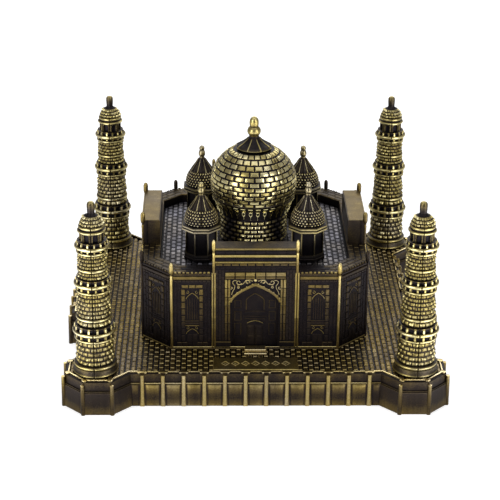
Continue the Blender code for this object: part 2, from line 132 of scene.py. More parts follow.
# Dome
DOME_RADIUS = DOME_HIGH.x - 0.2
DOME_Z = 50.0
DOME_RISE = 11.6                # the crown is a little flatter than a sphere
DRUM_RADIUS = 10.2
COLLAR_FOOT = 40.8
COLLAR_BEND = 44.3

RANDOM = np.random.default_rng(7)


# ---------------------------------------------------------------- surfaces

class Casting:
    """Closed surface patches in millimetres, with a wear value at every point."""

    def __init__(self):
        self.points = []
        self.wear = []
        self.faces = []
        self.count = 0

    def loft(self, rings, wear, closed=False):
        """Skin a stack of rings. It is capped at both ends, or joined end to end if closed."""
        rings = np.asarray(rings, float)
        levels, columns = rings.shape[:2]
        wear = np.asarray(wear, float)
        if wear.ndim == 1:
            wear = wear[:, None]
        self.points.append(rings.reshape(-1, 3))
        self.wear.append(np.broadcast_to(wear, (levels, columns)).ravel())
        index = self.count + np.arange(levels * columns).reshape(levels, columns)
        if closed:
            index = np.vstack((index, index[:1]))
        low, high = index[:-1], index[1:]
        quads = np.stack((low, np.roll(low, -1, 1), np.roll(high, -1, 1), high), -1)
        self.faces.extend(quads.reshape(-1, 4).tolist())
        if not closed:
            self.faces.append(index[0][::-1].tolist())
            self.faces.append(index[-1].tolist())
        self.count += levels * columns

    def post(self, centre, profile, segments=12):
        """A small turned post. The profile lists (z, radius, wear) from the foot up."""
        angles = np.arange(segments) * 2 * pi / segments
        rings = [np.stack((centre[0] + r * np.cos(angles), centre[1] + r * np.sin(angles),
                           z + 0 * angles), -1) for z, r, wear in profile]
        self.loft(rings, [wear for z, r, wear in profile])

    def wall(self, distance, turn):
        """An upright face at that distance: u runs along it, v up, out away from it."""
        def place(u, v, out):
            y = -distance - out
            return np.stack((u * cos(turn) - y * sin(turn), u * sin(turn) + y * cos(turn),
                             v + 0 * u), -1)
        return Face(self, place)

    def ground(self, height, turn=0.0):
        """A level face at that height: u runs to the right, v to the back, out upward."""
        def place(u, v, out):
            return np.stack((u * cos(turn) - v * sin(turn), u * sin(turn) + v * cos(turn),
                             height + out + 0 * u), -1)
        return Face(self, place)

    def mesh(self, name):
        """All the patches as one mesh, with the wear as a point attribute."""
        mesh = bpy.data.meshes.new(name)
        points = np.concatenate(self.points) * MM
        mesh.from_pydata(points.tolist(), [], self.faces)
        bm = bmesh.new()
        bm.from_mesh(mesh)
        bmesh.ops.recalc_face_normals(bm, faces=bm.faces)
        bm.to_mesh(mesh)
        bm.free()
        wear = mesh.attributes.new("wear", "FLOAT", "POINT")
        wear.data.foreach_set("value", np.concatenate(self.wear).astype(np.float32))
        mesh.shade_smooth()
        mesh.set_sharp_from_angle(angle=radians(38))
        return mesh


class Face:
    """A face of a casting that relief is raised on; place(u, v, out) gives its points."""

    def __init__(self, casting, place):
        self.casting = casting
        self.place = place

    def block(self, outline, foot, top, chamfer, wear):
        """Raise an outline of (u, v) points from foot to top. Wear is (foot, edge, face)."""
        outline = np.asarray(outline, float)
        crown = inset(outline, chamfer)
        rings = [self.place(outline[:, 0], outline[:, 1], foot),
                 self.place(outline[:, 0], outline[:, 1], top - chamfer),
                 self.place(crown[:, 0], crown[:, 1], top)]
        self.casting.loft(rings, wear)

    def bar(self, one_end, other_end, low, high, top, wear, chamfer=0.1, foot=-0.1):
        """Raise a box between two u values and two v values."""
        self.block(rect(one_end, other_end, low, high), foot, top, chamfer, wear)

    def row(self, half, count, low, high, top, wear, gap=0.12):
        """Raise a level row of equal blocks, from -half to half."""
        size = 2 * half / count
        for k in range(count):
            left = -half + k * size
            self.bar(left + gap, left + size - gap, low, high, top, wear)

    def cord(self, path, radius, out, wear, closed=False, sides=6):
        """Raise a thin line along a path of (u, v) points."""
        path = np.asarray(path, float)
        if closed:
            along = np.roll(path, -1, 0) - np.roll(path, 1, 0)
        else:
            along = np.gradient(path, axis=0)
        along /= np.linalg.norm(along, axis=1)[:, None]
        across = np.stack((-along[:, 1], along[:, 0]), -1)
        angles = np.arange(sides) * 2 * pi / sides
        rings = []
        for point, side in zip(path, across):
            around = point + radius * np.cos(angles)[:, None] * side
            rings.append(self.place(around[:, 0], around[:, 1], out + radius * np.sin(angles)))
        self.casting.loft(rings, np.full(len(rings), wear), closed)


def rect(one_side, other_side, low, high):
    """Corners of a box, anticlockwise, whichever side is given first."""
    left, right = sorted((one_side, other_side))
    return [(left, low), (right, low), (right, high), (left, high)]


def inset(outline, distance):
    """Move every side of an anticlockwise outline inward by distance."""
    points = np.asarray(outline, float)
    along = np.roll(points, -1, 0) - points
    along /= np.linalg.norm(along, axis=1)[:, None]
    inward = np.stack((-along[:, 1], along[:, 0]), -1)
    before = np.roll(inward, 1, 0)
    mitre = (inward + before) / (1 + (inward * before).sum(1))[:, None]
    return points + mitre * distance


def bond(low, high, pitch, start, end, length):
    """Running bond: yields (a0, a1, b0, b1), with strips stacked along a, blocks along b."""
    strips = max(1, round((high - low) / pitch))
    width = (high - low) / strips
    count = max(1, round((end - start) / length))
    size = (end - start) / count
    for strip in range(strips):
        shift = 0.5 if strip % 2 else 0.0
        for k in range(count + (strip % 2)):
            first = max(start, start + (k - shift) * size)
            last = min(end, start + (k + 1 - shift) * size)
            yield low + strip * width, low + (strip + 1) * width, first, last


def clip(polygon, region):
    """Cut a convex polygon down to a convex region, both anticlockwise (u, v) lists."""
    for a, b in zip(region, region[1:] + region[:1]):
        side = [(b[0] - a[0]) * (p[1] - a[1]) - (b[1] - a[1]) * (p[0] - a[0]) for p in polygon]
        kept = []
        for i, point in enumerate(polygon):
            j = i - 1
            if side[i] * side[j] < 0:
                share = side[j] / (side[j] - side[i])
                before = polygon[j]
                kept.append((before[0] + share * (point[0] - before[0]),
                             before[1] + share * (point[1] - before[1])))
            if side[i] >= 0:
                kept.append(point)
        polygon = kept
        if len(polygon) < 3:
            return []
    return polygon


def tidy_outline(polygon, shortest=0.12, smallest=0.25):
    """Drop points that sit almost on their neighbour, and outlines too small to see."""
    kept = [p for i, p in enumerate(polygon)
            if np.hypot(p[0] - polygon[i - 1][0], p[1] - polygon[i - 1][1]) > shortest]
    if len(kept) < 3:
        return []
    x, y = np.array(kept).T
    area = 0.5 * abs(np.dot(x, np.roll(y, -1)) - np.dot(y, np.roll(x, -1)))
    return kept if area > smallest else []


def pave(face, regions, reach, wear, side_gap=0.23, end_gap=0.26):
    """Stepping pavers in staggered columns from -reach to reach, cut to each region."""
    for u0, u1, v0, v1 in bond(-reach, reach, PAVER_WIDTH, -reach, reach, PAVER_LENGTH):
        paver = rect(u0 + side_gap, u1 - side_gap, v0 + end_gap, v1 - end_gap)
        for region in regions:
            piece = tidy_outline(clip(paver, region))
            if piece:
                lift = RANDOM.uniform(-0.04, 0.04)
                rub = RANDOM.uniform(-0.06, 0.06)
                face.block(piece, -0.3, 0.22 + lift, 0.16,
                           [wear[0], wear[1] + rub, wear[2] + rub])


# ---------------------------------------------------------------- turned skins

class Skin:
    """A surface turned about Z, built from the foot up, with relief around the axis."""

    def __init__(self, bricks, joint, seams=(), bed=0.07, shoulder=0.12, level=0.8):
        """Columns lie close together at every upright joint; seams are half-brick numbers.

        The joint is a share of half a brick, the bed joint and shoulder are shares of a course,
        and level is the height of a brick's shoulder over that of its middle.
        """
        self.bricks = bricks
        rise = bed + shoulder
        self.level = level
        self.pillow = ((bed, 0), (rise, level), (0.5, 1), (1 - rise, level), (1 - bed, 0))
        fractions = np.array([0, joint, 2.2 * joint, 0.5, 1 - 2.2 * joint, 1 - joint])
        halves = np.arange(2 * bricks)[:, None] + fractions
        self.angles = (halves * pi / bricks).ravel() - pi / 2
        ridge = np.zeros((2 * bricks, 6))
        self.seams = seams
        for seam in seams:
            ridge[seam, 0] = 1
            ridge[seam, 1] = -1
            ridge[seam - 1, 5] = -1
        self.ridge = ridge.ravel()
        self.rows = []

    def row(self, z, radius, wear):
        """Add one ring; radius and wear may vary around it."""
        ones = np.ones_like(self.angles)
        self.rows.append((z * ones, radius * ones, wear * ones))

    def profile(self, *rows):
        """Add several rings from the foot up, each (z, radius, wear)."""
        for z, radius, wear in rows:
            self.row(z, radius, wear)

    def near(self, count, phase, half_width, soft):
        """1 within half_width of each of count directions, falling to 0 over soft (degrees)."""
        pitch = 360 / count
        away = (np.degrees(self.angles) - phase + pitch / 2) % pitch - pitch / 2
        return np.clip((half_width + soft - abs(away)) / soft, 0, 1)

    def bead(self, z, radius, swell, half_height, wear):
        """A rounded ring around the surface."""
        for angle in (-80, -50, -20, 20, 50, 80):
            bulge = cos(radians(angle))
            self.row(z + half_height * sin(radians(angle)), radius + swell * bulge,
                     wear * (0.25 + 0.75 * bulge))

    def bulb(self, z, radius, half_height, wear):
        """A round swelling of a finial."""
        for angle in (-50, -30, -10, 10, 30, 50):
            self.row(z + half_height * sin(radians(angle)) / sin(radians(60)),
                     radius * cos(radians(angle)) ** 0.9, wear)

    def bricks_row(self, parity):
        """1 on the bricks of a course, 0 in its upright joints, and a rub value per brick."""
        mask = np.ones((2 * self.bricks, 6))
        starts = np.arange(parity, 2 * self.bricks, 2)
        mask[starts, :3] = (0, 0, self.level)
        mask[starts - 1, 4:] = (self.level, 0)
        rub = RANDOM.uniform(-1, 1, self.bricks)
        owner = ((np.arange(2 * self.bricks) - parity) // 2) % self.bricks
        for seam in self.seams:
            mask[seam - 1:seam + 1] *= 0.7
        return mask.ravel(), np.repeat(rub[owner], 6)

    def courses(self, curve, count, depth, wear=0.8, uneven=0.1, parity=0, joint_wear=0.0):
        """Brick courses up a curve that gives (radius, z, normal radius, normal z)."""
        for course in range(count):
            mask, rub = self.bricks_row((course + parity) % 2)
            for fraction, level in self.pillow:
                radius, z, out_r, out_z = curve((course + fraction) / count)
                relief = depth * level * mask * (1 + uneven * rub)
                self.row(z + out_z * relief, radius + out_r * relief,
                         np.where(level * mask > 0.3, wear + 0.15 * rub, joint_wear))

    def finish(self, casting):
        """Close the skin into the casting, with the mould's seam along it."""
        rings, wear = [], []
        for z, radius, lightness in self.rows:
            radius = radius + 0.1 * self.ridge * np.minimum(radius / 2, 1)
            rings.append(np.stack((radius * np.cos(self.angles),
                                   radius * np.sin(self.angles), z), -1))
            lightness = np.where(self.ridge > 0, np.maximum(lightness, 0.75), lightness)
            wear.append(np.where(self.ridge < 0, 0.05, lightness))
        casting.loft(rings, np.array(wear))


def straight(foot, foot_radius, top, top_radius):
    """A curve for courses up a plain cylinder or cone."""
    return lambda s: (foot_radius + (top_radius - foot_radius) * s,
                      foot + (top - foot) * s, 1.0, 0.0)


def crown_curve(first, last):
    """Up the dome's side between two angles in degrees, with taller courses near the top."""
    def curve(s):
        angle = radians(first + (last - first) * (0.64 * s + 0.36 * s * s))
        rise = DOME_RISE if angle > 0 else DOME_RADIUS
        return (DOME_RADIUS * cos(angle), DOME_Z + rise * sin(angle), cos(angle), sin(angle))
    return curve


# ---------------------------------------------------------------- minaret

def balcony(skin, ring_radius, rail_radius, parapet_radius, heights):
    """Thin lower ring, short posts, a round rail, and taller posts below a thin top ring."""
    foot, rail, top = heights
    count = 14
    posts = skin.near(count, -90 + 180 / count, 2.9, 1.9)
    recess = parapet_radius - 0.6
    skin.bead(foot + 0.36, ring_radius - 0.32, 0.34, 0.34, 0.95)
    for z in (foot + 0.86, rail - 0.72):
        skin.row(z, recess + 0.55 * posts, 0.03 + 0.75 * posts)
    skin.bead(rail, rail_radius - 0.42, 0.42, 0.54, 1.0)
    for z in (rail + 0.56, top - 0.42):
        skin.row(z, recess + 0.6 * posts, 0.03 + 0.9 * posts)
    skin.profile((top - 0.36, recess + 0.35, 0.12 + 0.6 * posts),
                 (top - 0.1, recess + 0.35, 0.4 + 0.4 * posts), (top, recess + 0.05, 0.1))


def shaft(skin, foot, foot_radius, top, top_radius, courses, parity=0):
    """Brick courses of a storey; the radii are those of the bricks' faces."""
    depth = 0.34
    skin.courses(straight(foot, foot_radius - depth, top, top_radius - depth), courses, 0.44,
                 wear=0.74, uneven=0.5, parity=parity, joint_wear=0.16)


def lantern(skin, radius, foot, top):
    """Round chamber with eight dark arched openings between flat jambs."""
    front = -90 + 22.5
    jambs = skin.near(8, front + 22.5, 7.5, 1.5)
    edges = jambs - skin.near(8, front + 22.5, 5.0, 1.5)
    for z, half_width in ((foot + 0.1, 12), (top - 0.9, 12), (top - 0.55, 9), (top - 0.3, 3)):
        opening = skin.near(8, front, half_width, 2)
        skin.row(z, radius - 0.55 * opening + 0.08 * edges, 0.36 + 0.35 * edges - 0.34 * opening)
    skin.row(top - 0.1, radius, 0.3)


def cupola(skin, outline):
    """Bricks over the lantern, one course to each step of the outline."""
    for k, ((z0, r0), (z1, r1)) in enumerate(zip(outline, outline[1:])):
        skin.courses(straight(z0, r0 - 0.2, z1, r1 - 0.2), 1, 0.46, 0.85, 0.5, parity=k % 2)


def minaret_casting():
    """Three tapering storeys with balconies, a lantern, a small cupola and a blunt tip."""
    casting = Casting()
    skin = Skin(18, 0.1, seams=(0, 18), bed=0.055, shoulder=0.16, level=0.58)
    low, middle, high = BALCONIES
    skin.profile((TERRACE - 0.1, 6.3, 0.1), (TERRACE + 0.45, 6.42, 0.3),
                 (TERRACE + 0.75, 6.5, 0.85), (TERRACE + 0.95, 6.4, 0.6),
                 (TERRACE + 1.15, 6.2, 0.34), (TERRACE + 2.3, 6.0, 0.4))
    skin.bead(TERRACE + 2.9, 5.72, 0.42, 0.5, 0.85)
    shaft(skin, 13.1, 5.42, low[0], 5.25, 5)
    balcony(skin, 5.7, 6.22, 5.7, low)
    shaft(skin, low[2], 4.95, 26.7, 4.9, 1)
    skin.bead(27.2, 4.78, 0.34, 0.42, 0.95)
    shaft(skin, 27.7, 4.88, middle[0], 4.55, 6, parity=1)
    balcony(skin, 4.96, 5.44, 4.95, middle)
    shaft(skin, middle[2], 4.25, 41.5, 4.18, 2)
    skin.bead(42.0, 4.05, 0.32, 0.4, 0.95)
    shaft(skin, 42.45, 4.16, high[0], 4.0, 4, parity=1)
    balcony(skin, 4.42, 4.95, 4.4, high)
    lantern(skin, 3.4, high[2], 52.9)
    skin.bead(53.25, 3.55, 0.45, 0.38, 0.95)
    skin.row(53.8, 3.35, 0.05)
    skin.bead(54.45, 3.25, 0.42, 0.42, 0.9)
    skin.row(54.95, 3.1, 0.05)
    cupola(skin, ((54.95, 3.3), (55.9, 3.15), (56.8, 2.65), (57.6, 1.85)))
    skin.profile((57.75, 1.45, 0.15), (58.2, 1.02, 0.15), (59.2, 1.08, 0.3), (60.2, 1.12, 0.4),
                 (60.9, 1.08, 0.5), (61.3, 0.85, 0.7), (61.52, 0.5, 0.8), (TOWER_TOP, 0.15, 0.8))
    skin.finish(casting)
    return casting


# ---------------------------------------------------------------- dome

def drop_outline(centre, low, high, half_width):
    """A teardrop loop: round at the head, pointed at the foot."""
    points = []
    for k in range(10):
        angle = 2 * pi * k / 10
        lift = (1 + sin(angle)) / 2
        points.append((centre + half_width * cos(angle) * (0.4 + 0.6 * lift),
                       low + (high - low) * lift))
    return points


def flared_face(casting, foot, foot_radius, top, top_radius):
    """A cone around the axis: u in degrees, v up, out away from the axis."""
    def place(u, v, out):
        radius = foot_radius + (top_radius - foot_radius) * (v - foot) / (top - foot) + out
        return np.stack((radius * np.cos(np.radians(u)), radius * np.sin(np.radians(u)),
                         v + 0 * u), -1)
    return Face(casting, place)


def collar_ornament(casting):
    """Stems with drop-shaped loops, and small frames above them, around the collar."""
    lower = flared_face(casting, COLLAR_FOOT, 10.35, COLLAR_BEND, 11.3)
    upper = flared_face(casting, COLLAR_BEND, 11.3, 45.5, 12.2)
    count = 34
    for k in range(count):
        angle = -90 + 360 * (k + 0.5) / count
        # Painted shade: the loops and frames behind the kiosks are darker, where the kiosks' shade falls.
        in_kiosk_shade = abs((angle + 135) % 90 - 45) > 36
        wear = 0.6 if in_kiosk_shade else 1.1
        lower.cord(drop_outline(angle, 42.75, 44.1, 3.2), 0.24, 0.32, wear, True)
        lower.cord([(angle, 41.45), (angle, 42.1), (angle, 42.75)], 0.24, 0.32, wear)
        upper.cord(rect(angle - 3.1, angle + 3.1, 44.4, 45.2), 0.22, 0.3, wear, True)


def lotus_cap(casting):
    """Skirt of eight panels between thin ribs, drawn in to the finial's neck."""
    skin = Skin(24, 0.12)
    ribs = skin.near(8, 22.5, 1.6, 3.0)
    skin.profile((60.5, 5.0, 0.05), (60.8, 5.3, 0.35))
    for z, radius, wear in ((60.95, 5.36, 0.75), (61.15, 5.2, 0.35), (61.7, 4.3, 0.12),
                            (62.3, 3.3, 0.08), (62.95, 2.4, 0.06), (63.5, 1.85, 0.1)):
        skin.row(z + 0.12 * ribs, radius + 0.28 * ribs, np.maximum(wear, 0.75 * ribs))
    skin.profile((64.1, 1.43, 0.15), (64.5, 1.5, 0.3))
    skin.bulb(65.9, 2.05, 1.5, 0.72)
    skin.profile((67.25, 1.22, 0.3), (67.7, 1.34, 0.6), (68.6, 1.42, 0.7), (69.4, 1.3, 0.75),
                 (69.95, 1.0, 0.8), (70.25, 0.6, 0.8), (DOME_HIGH.z, 0.12, 0.8))
    skin.finish(casting)


def dome_casting():
    """Brick drum, flared collar, brick crown with a seam to its right, and the lotus cap."""
    casting = Casting()
    drum = Skin(28, 0.13, bed=0.1, shoulder=0.16, level=0.55)
    radius = DRUM_RADIUS - 0.3
    drum.row(DOME_LOW.z - 0.1, radius, 0.1)
    # Painted light and shade: the drum's bricks are lighter between the kiosks and darker behind them,
    # where the kiosks' shade falls.
    out_of_kiosk_shade = drum.near(4, -90, 24, 16)
    drum.courses(straight(DOME_LOW.z, radius, 40.5, radius), 6, 0.42, 0.24 + 0.7 * out_of_kiosk_shade)
    drum.profile((40.6, 9.8, 0.0), (41.0, 9.85, 0.0), (41.1, 10.3, 0.3), (41.3, 10.36, 0.12),
                 (COLLAR_BEND, 11.2, 0.02), (44.4, 11.25, 0.1), (45.5, 12.1, 0.03))
    drum.finish(casting)
    collar_ornament(casting)
    crown = Skin(24, 0.11, seams=(6,), bed=0.085, shoulder=0.09)
    crown.profile((45.3, 11.9, 0.05), (45.55, 12.15, 0.4), (45.85, 12.3, 0.3))
    crown.courses(crown_curve(-17.9, 62.4), 11, 0.3, 0.86, 0.12)
    crown.profile((60.45, 5.2, 0.05), (60.5, 2.0, 0.05))
    crown.finish(casting)
    lotus_cap(casting)
    return casting


# ---------------------------------------------------------------- kiosk

def octagon_row(z, apothem, wear, panel=0.0, panel_wear=0.0):
    """Points and wear of an eight-sided ring; the middle of each side is set back by panel."""
    points, values = [], []
    for side in range(8):
        angle = side * pi / 4
        for fraction, back in ((-1, 0), (-0.9, 0), (-0.85, panel), (0.85, panel), (0.9, 0)):
            along = fraction * apothem * OCTANT
            out = apothem - back
            points.append((out * cos(angle) - along * sin(angle),
                           out * sin(angle) + along * cos(angle), z))
            values.append(panel_wear if back else wear)
    return points, values


def kiosk_chamber(casting):
    """Stepped foot, recessed panels between thin corner pillars, and a two-rail eave."""
    foot = KIOSK_LOW.z - 0.1
    pillars = 4.7, 0.62
    levels = (
        (foot, 5.1, 0.05), (foot + 0.7, 5.1, 0.3), (foot + 0.8, 4.95, 0.12), (33.7, 4.85, 0.3),
        (33.8, 4.72, 0.1), (34.0, *pillars), (34.1, *pillars, 0.5, 0.05),
        (40.9, *pillars, 0.5, 0.05), (41.0, 4.7, 0.2),
        (41.2, 4.8, 0.05), (41.45, 5.55, 0.5), (41.55, 5.7, 0.64), (41.95, 5.7, 0.7),
        (42.05, 5.5, 0.1), (42.2, 5.45, 0.05), (42.3, 5.5, 0.5), (42.4, 5.6, 0.64),
        (42.75, 5.58, 0.7), (42.85, 5.4, 0.35), (43.1, 4.95, 0.05),
    )
    points, wear = zip(*(octagon_row(*level) for level in levels))
    casting.loft(points, wear)


def kiosk_cap(casting):
    """Pointed dome with a net of beads, eight petals' ridges above, and a two-lobed finial."""
    count = 30
    skin = Skin(count, 0.2, seams=(0,))
    heights, radii = zip((43.0, 4.9), (44.4, 4.95), (45.4, 4.75), (46.5, 4.25), (47.7, 3.5))
    net_foot, net_height, net_rows = 43.1, 4.6, 6
    for k in range(net_rows):
        wave = np.cos(count * (skin.angles + pi / 2) + k * pi)
        beads = np.sqrt(np.clip(wave + 0.4, 0, 1))
        for fraction, level in ((0.06, 0), (0.25, 0.75), (0.5, 1), (0.75, 0.75), (0.94, 0)):
            z = net_foot + net_height * (k + fraction) / net_rows
            bump = level * beads
            skin.row(z, np.interp(z, heights, radii) - 0.2 + 0.36 * bump, 0.05 + 0.84 * bump)
    ridges = skin.near(8, 22.5, 1.5, 3.0) + 0.5 * skin.near(8, 0, 1.0, 2.5)
    for z, radius, wear in ((47.75, 3.4, 0.12), (48.4, 2.9, 0.26), (49.1, 2.4, 0.26),
                            (49.8, 1.9, 0.24), (50.5, 1.45, 0.2), (51.2, 1.05, 0.15)):
        skin.row(z, radius + 0.28 * ridges, np.maximum(wear, 0.8 * ridges))
    skin.row(51.5, 0.85, 0.25)
    skin.bulb(53.0, 1.05, 1.15, 0.7)
    skin.profile((54.05, 0.66, 0.25), (54.3, 0.76, 0.6), (54.75, 0.84, 0.7), (55.15, 0.7, 0.8),
                 (55.4, 0.4, 0.85), (KIOSK_HIGH.z, 0.1, 0.7))
    skin.finish(casting)


def kiosk_casting():
    """One kiosk; the four corners share it."""
    casting = Casting()
    kiosk_chamber(casting)
    kiosk_cap(casting)
    return casting


# ---------------------------------------------------------------- plinth

def turned(points, angle):
    """The points of a plan, turned about its middle."""
    return [(x * cos(angle) - y * sin(angle), x * sin(angle) + y * cos(angle)) for x, y in points]


def plinth_side(number, offset):
    """One side of the plan, moved outward: a corner bastion, the wall after it, its porch."""
    apothem = BASTION_APOTHEM + offset
    diagonal = apothem * sqrt(2)
    before, wall = WALLS[number - 1] + offset, WALLS[number] + offset
    points = [
        (-before, diagonal - before),
        (-BASTION_CENTRE - apothem, -BASTION_CENTRE + apothem * OCTANT),
        (-BASTION_CENTRE - apothem, -BASTION_CENTRE - apothem * OCTANT),
        (-BASTION_CENTRE - apothem * OCTANT, -BASTION_CENTRE - apothem),
        (-BASTION_CENTRE + apothem * OCTANT, -BASTION_CENTRE - apothem),
        (diagonal - wall, -wall),
    ]
    if number in SIDE_WALLS:
        half, front = PORCH_HALF + offset, PORCH + offset
        points += [(-half, -wall), (-half, -front), (half, -front), (half, -wall)]
    return turned(points, QUARTER_TURNS[number])


def plinth_shell(casting):
    """Dark body with a thin ledge, a recessed upper band, a thin set-back rim, and the bed."""
    rim = -RIM_SETBACK
    levels = (
        (PAD_TOP - 0.5, -2.0, 0.1), (0.0, -1.4, 0.2), (0.0, -0.3, 0.45), (0.3, -0.15, 0.5),
        (1.5, -0.12, 0.42), (3.0, -0.2, 0.26), (6.5, -0.45, 0.2), (6.8, -0.5, 0.35),
        (6.87, -0.8, 0.0), (LEDGE + 0.05, -0.8, 0.0), (LEDGE + 0.1, -0.5, 0.35),
        (LEDGE + 0.3, -0.5, 0.35), (LEDGE + 0.36, -0.9, 0.2), (TERRACE + 0.18, -0.9, 0.34),
        (TERRACE + 0.25, -1.0, 0.1), (TERRACE + 0.27, rim + 0.08, 0.0), (RIM_TOP - 0.28, rim, 0.5),
        (RIM_TOP - 0.04, rim, 0.95), (RIM_TOP, rim - 0.12, 0.95), (RIM_TOP, rim - 0.32, 0.75),
        (RIM_TOP - 0.2, rim - 0.45, 0.2), (TERRACE - 0.12, rim - 0.45, 0.0),
    )
    rings = [[(x, y, z) for number in range(4) for x, y in plinth_side(number, offset)]
             for z, offset, wear in levels]
    casting.loft(rings, [wear for z, offset, wear in levels])


def swelling_panel(face, middle, half, rub=1.0):
    """Lower panel between two ribs: bowed, rubbed at its top and foot, dark at its sides."""
    left, right = middle - half, middle + half
    across = np.array((left, left, left + 0.5, right - 0.5, right, right))
    set_back = np.array((1.0, 0.2, 0.0, 0.0, 0.2, 1.0))
    lightness = np.array((0.0, 0.3, 1.0, 1.0, 0.3, 0.0))
    profile = ((0.08, -0.15, 0.55), (0.5, 0.06, 0.6), (1.4, 0.1, 0.46), (2.6, 0.07, 0.3),
               (3.8, 0.0, 0.32), (5.0, -0.1, 0.48), (6.0, -0.2, 0.61), (6.6, -0.28, 0.67),
               (6.8, -0.45, 0.55))
    face.casting.loft([face.place(across, z, out - set_back) for z, out, wear in profile],
                      np.array([rub * wear * lightness for z, out, wear in profile]))
    face.bar(left - 0.25, right + 0.25, LEDGE + 0.06, LEDGE + 0.32, -0.36,
             (0.1, 0.95 * rub, 0.85 * rub), chamfer=0.08, foot=-0.9)


def capital(face, centre):
    """Small corbel that carries the rim forward over a rib, with two bright drops."""
    foot, eave = TERRACE + 0.12, RIM_TOP - 0.22
    left, right = centre - CAPITAL_HALF, centre + CAPITAL_HALF
    outline = [(centre - 0.6, foot), (centre + 0.6, foot), (right, eave), (right, RIM_TOP),
               (left, RIM_TOP), (left, eave)]
    face.block(outline, -2.1, -0.98, 0.1, (0.5, 0.8, 0.34))
    for side in (-1, 1):
        u = centre + side * 0.95
        face.bar(u - 0.3, u + 0.3, eave - 0.12, RIM_TOP - 0.04, -0.86, (0.4, 0.95, 0.95),
                 chamfer=0.12, foot=-1.3)


def rib_places(number):
    """(distance, centre) of the ribs on one side: along the wall, and across its porch."""
    along = [(k - (RIBS_PER_SIDE - 1) / 2) * RIB_PITCH for k in range(RIBS_PER_SIDE)]
    if number not in SIDE_WALLS:
        return [(WALLS[number], x) for x in along]
    places = [(WALLS[number], x) for x in along if abs(x) > PORCH_HALF]
    return places + [(PORCH, side * PORCH_HALF / 3) for side in (-1, 1)]


def plinth_ribs(casting):
    """Ribs with capitals on the walls, round ones at the corners, and the rim's corners."""
    half = RIB_WIDTH / 2
    for number, turn in enumerate(QUARTER_TURNS):
        for distance, x in rib_places(number):
            face = casting.wall(distance, turn)
            outline = [(x - half - 0.1, 0.02), (x + half + 0.1, 0.02), (x + half, 1.6),
                       (x + half, RIB_TOP), (x - half, RIB_TOP), (x - half, 1.6)]
            face.block(outline, -1.3, 0.22, 0.16, (0.2, 0.72, 0.8))
            capital(face, x)
        corners = plinth_side(number, -0.42)
        for corner in corners[1:5] + corners[7:9]:
            casting.post(corner, ((0.02, 0.66, 0.4), (2.0, 0.62, 0.3), (5.0, 0.6, 0.42),
                                  (RIB_TOP - 0.8, 0.56, 0.6), (RIB_TOP - 0.4, 0.58, 0.85),
                                  (RIB_TOP - 0.35, 0.4, 0.8)))
        for corner in plinth_side(number, -RIM_SETBACK)[1:5]:
            casting.post(corner, ((TERRACE + 0.2, 0.5, 0.1), (RIM_TOP - 0.25, 0.8, 0.7),
                                  (RIM_TOP - 0.04, 0.8, 0.9), (RIM_TOP + 0.02, 0.6, 0.8)))


def plinth_panels(casting):
    """The lower panels between the ribs, on the porches, and on the bastions' faces."""
    half = (RIB_PITCH - RIB_WIDTH) / 2 - 0.3
    for number, turn in enumerate(QUARTER_TURNS):
        wall = casting.wall(WALLS[number], turn)
        for k in range(-5, 6):
            middle = k * RIB_PITCH
            if number not in SIDE_WALLS or abs(middle) > PORCH_HALF + half:
                swelling_panel(wall, middle, half)
        for side in (-1, 1):
            swelling_panel(wall, side * 34.45, 1.15, 0.7)
        if number in SIDE_WALLS:
            for k in (-1, 0, 1):
                swelling_panel(casting.wall(PORCH, turn), k * PORCH_HALF * 2 / 3, 2.4, 0.6)


def octagon(centre, apothem):
    """Corners of an eight-sided plan, anticlockwise from the front."""
    half = apothem * OCTANT
    return [(centre[0] + x, centre[1] + y) for x, y in
            ((-half, -apothem), (half, -apothem), (apothem, -half), (apothem, half),
             (half, apothem), (-half, apothem), (-apothem, half), (-apothem, -half))]


def terrace_paving(casting):
    """Pavers over the terrace, the porches, and the parts of the bastions outside it."""
    back = RIM_SETBACK + 0.5
    side, end = WALLS[1] - back, WALLS[0] - back
    regions = [rect(-side, side, -end, end)]
    for sx, sy in CORNERS.values():
        corner = octagon((sx * BASTION_CENTRE, sy * BASTION_CENTRE), BASTION_APOTHEM - back)
        beside = rect(sx * side, sx * PLINTH_HALF, -PLINTH_HALF, PLINTH_HALF)
        beyond = rect(-side, side, *sorted((sy * end, sy * PLINTH_HALF)))
        regions += [clip(corner, beside), clip(corner, beyond)]
    for sx in (-1, 1):
        regions.append(rect(sx * side, sx * (PORCH - back), -PORCH_HALF + back, PORCH_HALF - back))
    pave(casting.ground(TERRACE), regions, PLINTH_SIDE, (0.0, 0.78, 0.48))


def entrance_step(casting):
    """Two shallow treads in front of the entrance."""
    centre = 0.1
    for half, near, height in ((3.3, 3.9, 0.55), (3.1, 2.3, 1.0)):
        casting.ground(TERRACE).bar(centre - half, centre + half, -HALL - near, -HALL + 0.5,
                                    height, (0.2, 0.95, 0.8), chamfer=0.15, foot=-0.3)


def plinth_casting():
    """The plinth with its terrace and the step at the entrance."""
    casting = Casting()
    plinth_shell(casting)
    plinth_ribs(casting)
    plinth_panels(casting)
    terrace_paving(casting)
    entrance_step(casting)
    return casting


def plaque_casting():
    """Raised tablet; a chain of plain lozenges stands where lettering would be."""
    casting = Casting()
    face = casting.ground(PLAQUE_LOW.z)
    height = PLAQUE_HIGH.z - PLAQUE_LOW.z
    face.bar(PLAQUE_LOW.x, PLAQUE_HIGH.x, PLAQUE_LOW.y, PLAQUE_HIGH.y, height, (0.2, 0.85, 0.6),
             chamfer=0.2, foot=0.0)
    middle = (PLAQUE_LOW.y + PLAQUE_HIGH.y) / 2
    for k in range(-3, 4):
        x = k * 2.9
        lozenge = [(x - 1.1, middle), (x, middle - 1.3), (x + 1.1, middle), (x, middle + 1.3)]
        face.cord(lozenge, 0.17, height + 0.02, 0.95, True)
        face.block(inset(lozenge, 0.55), height - 0.1, height + 0.12, 0.06, (0.3, 0.9, 0.9))
    return casting


# ---------------------------------------------------------------- hall

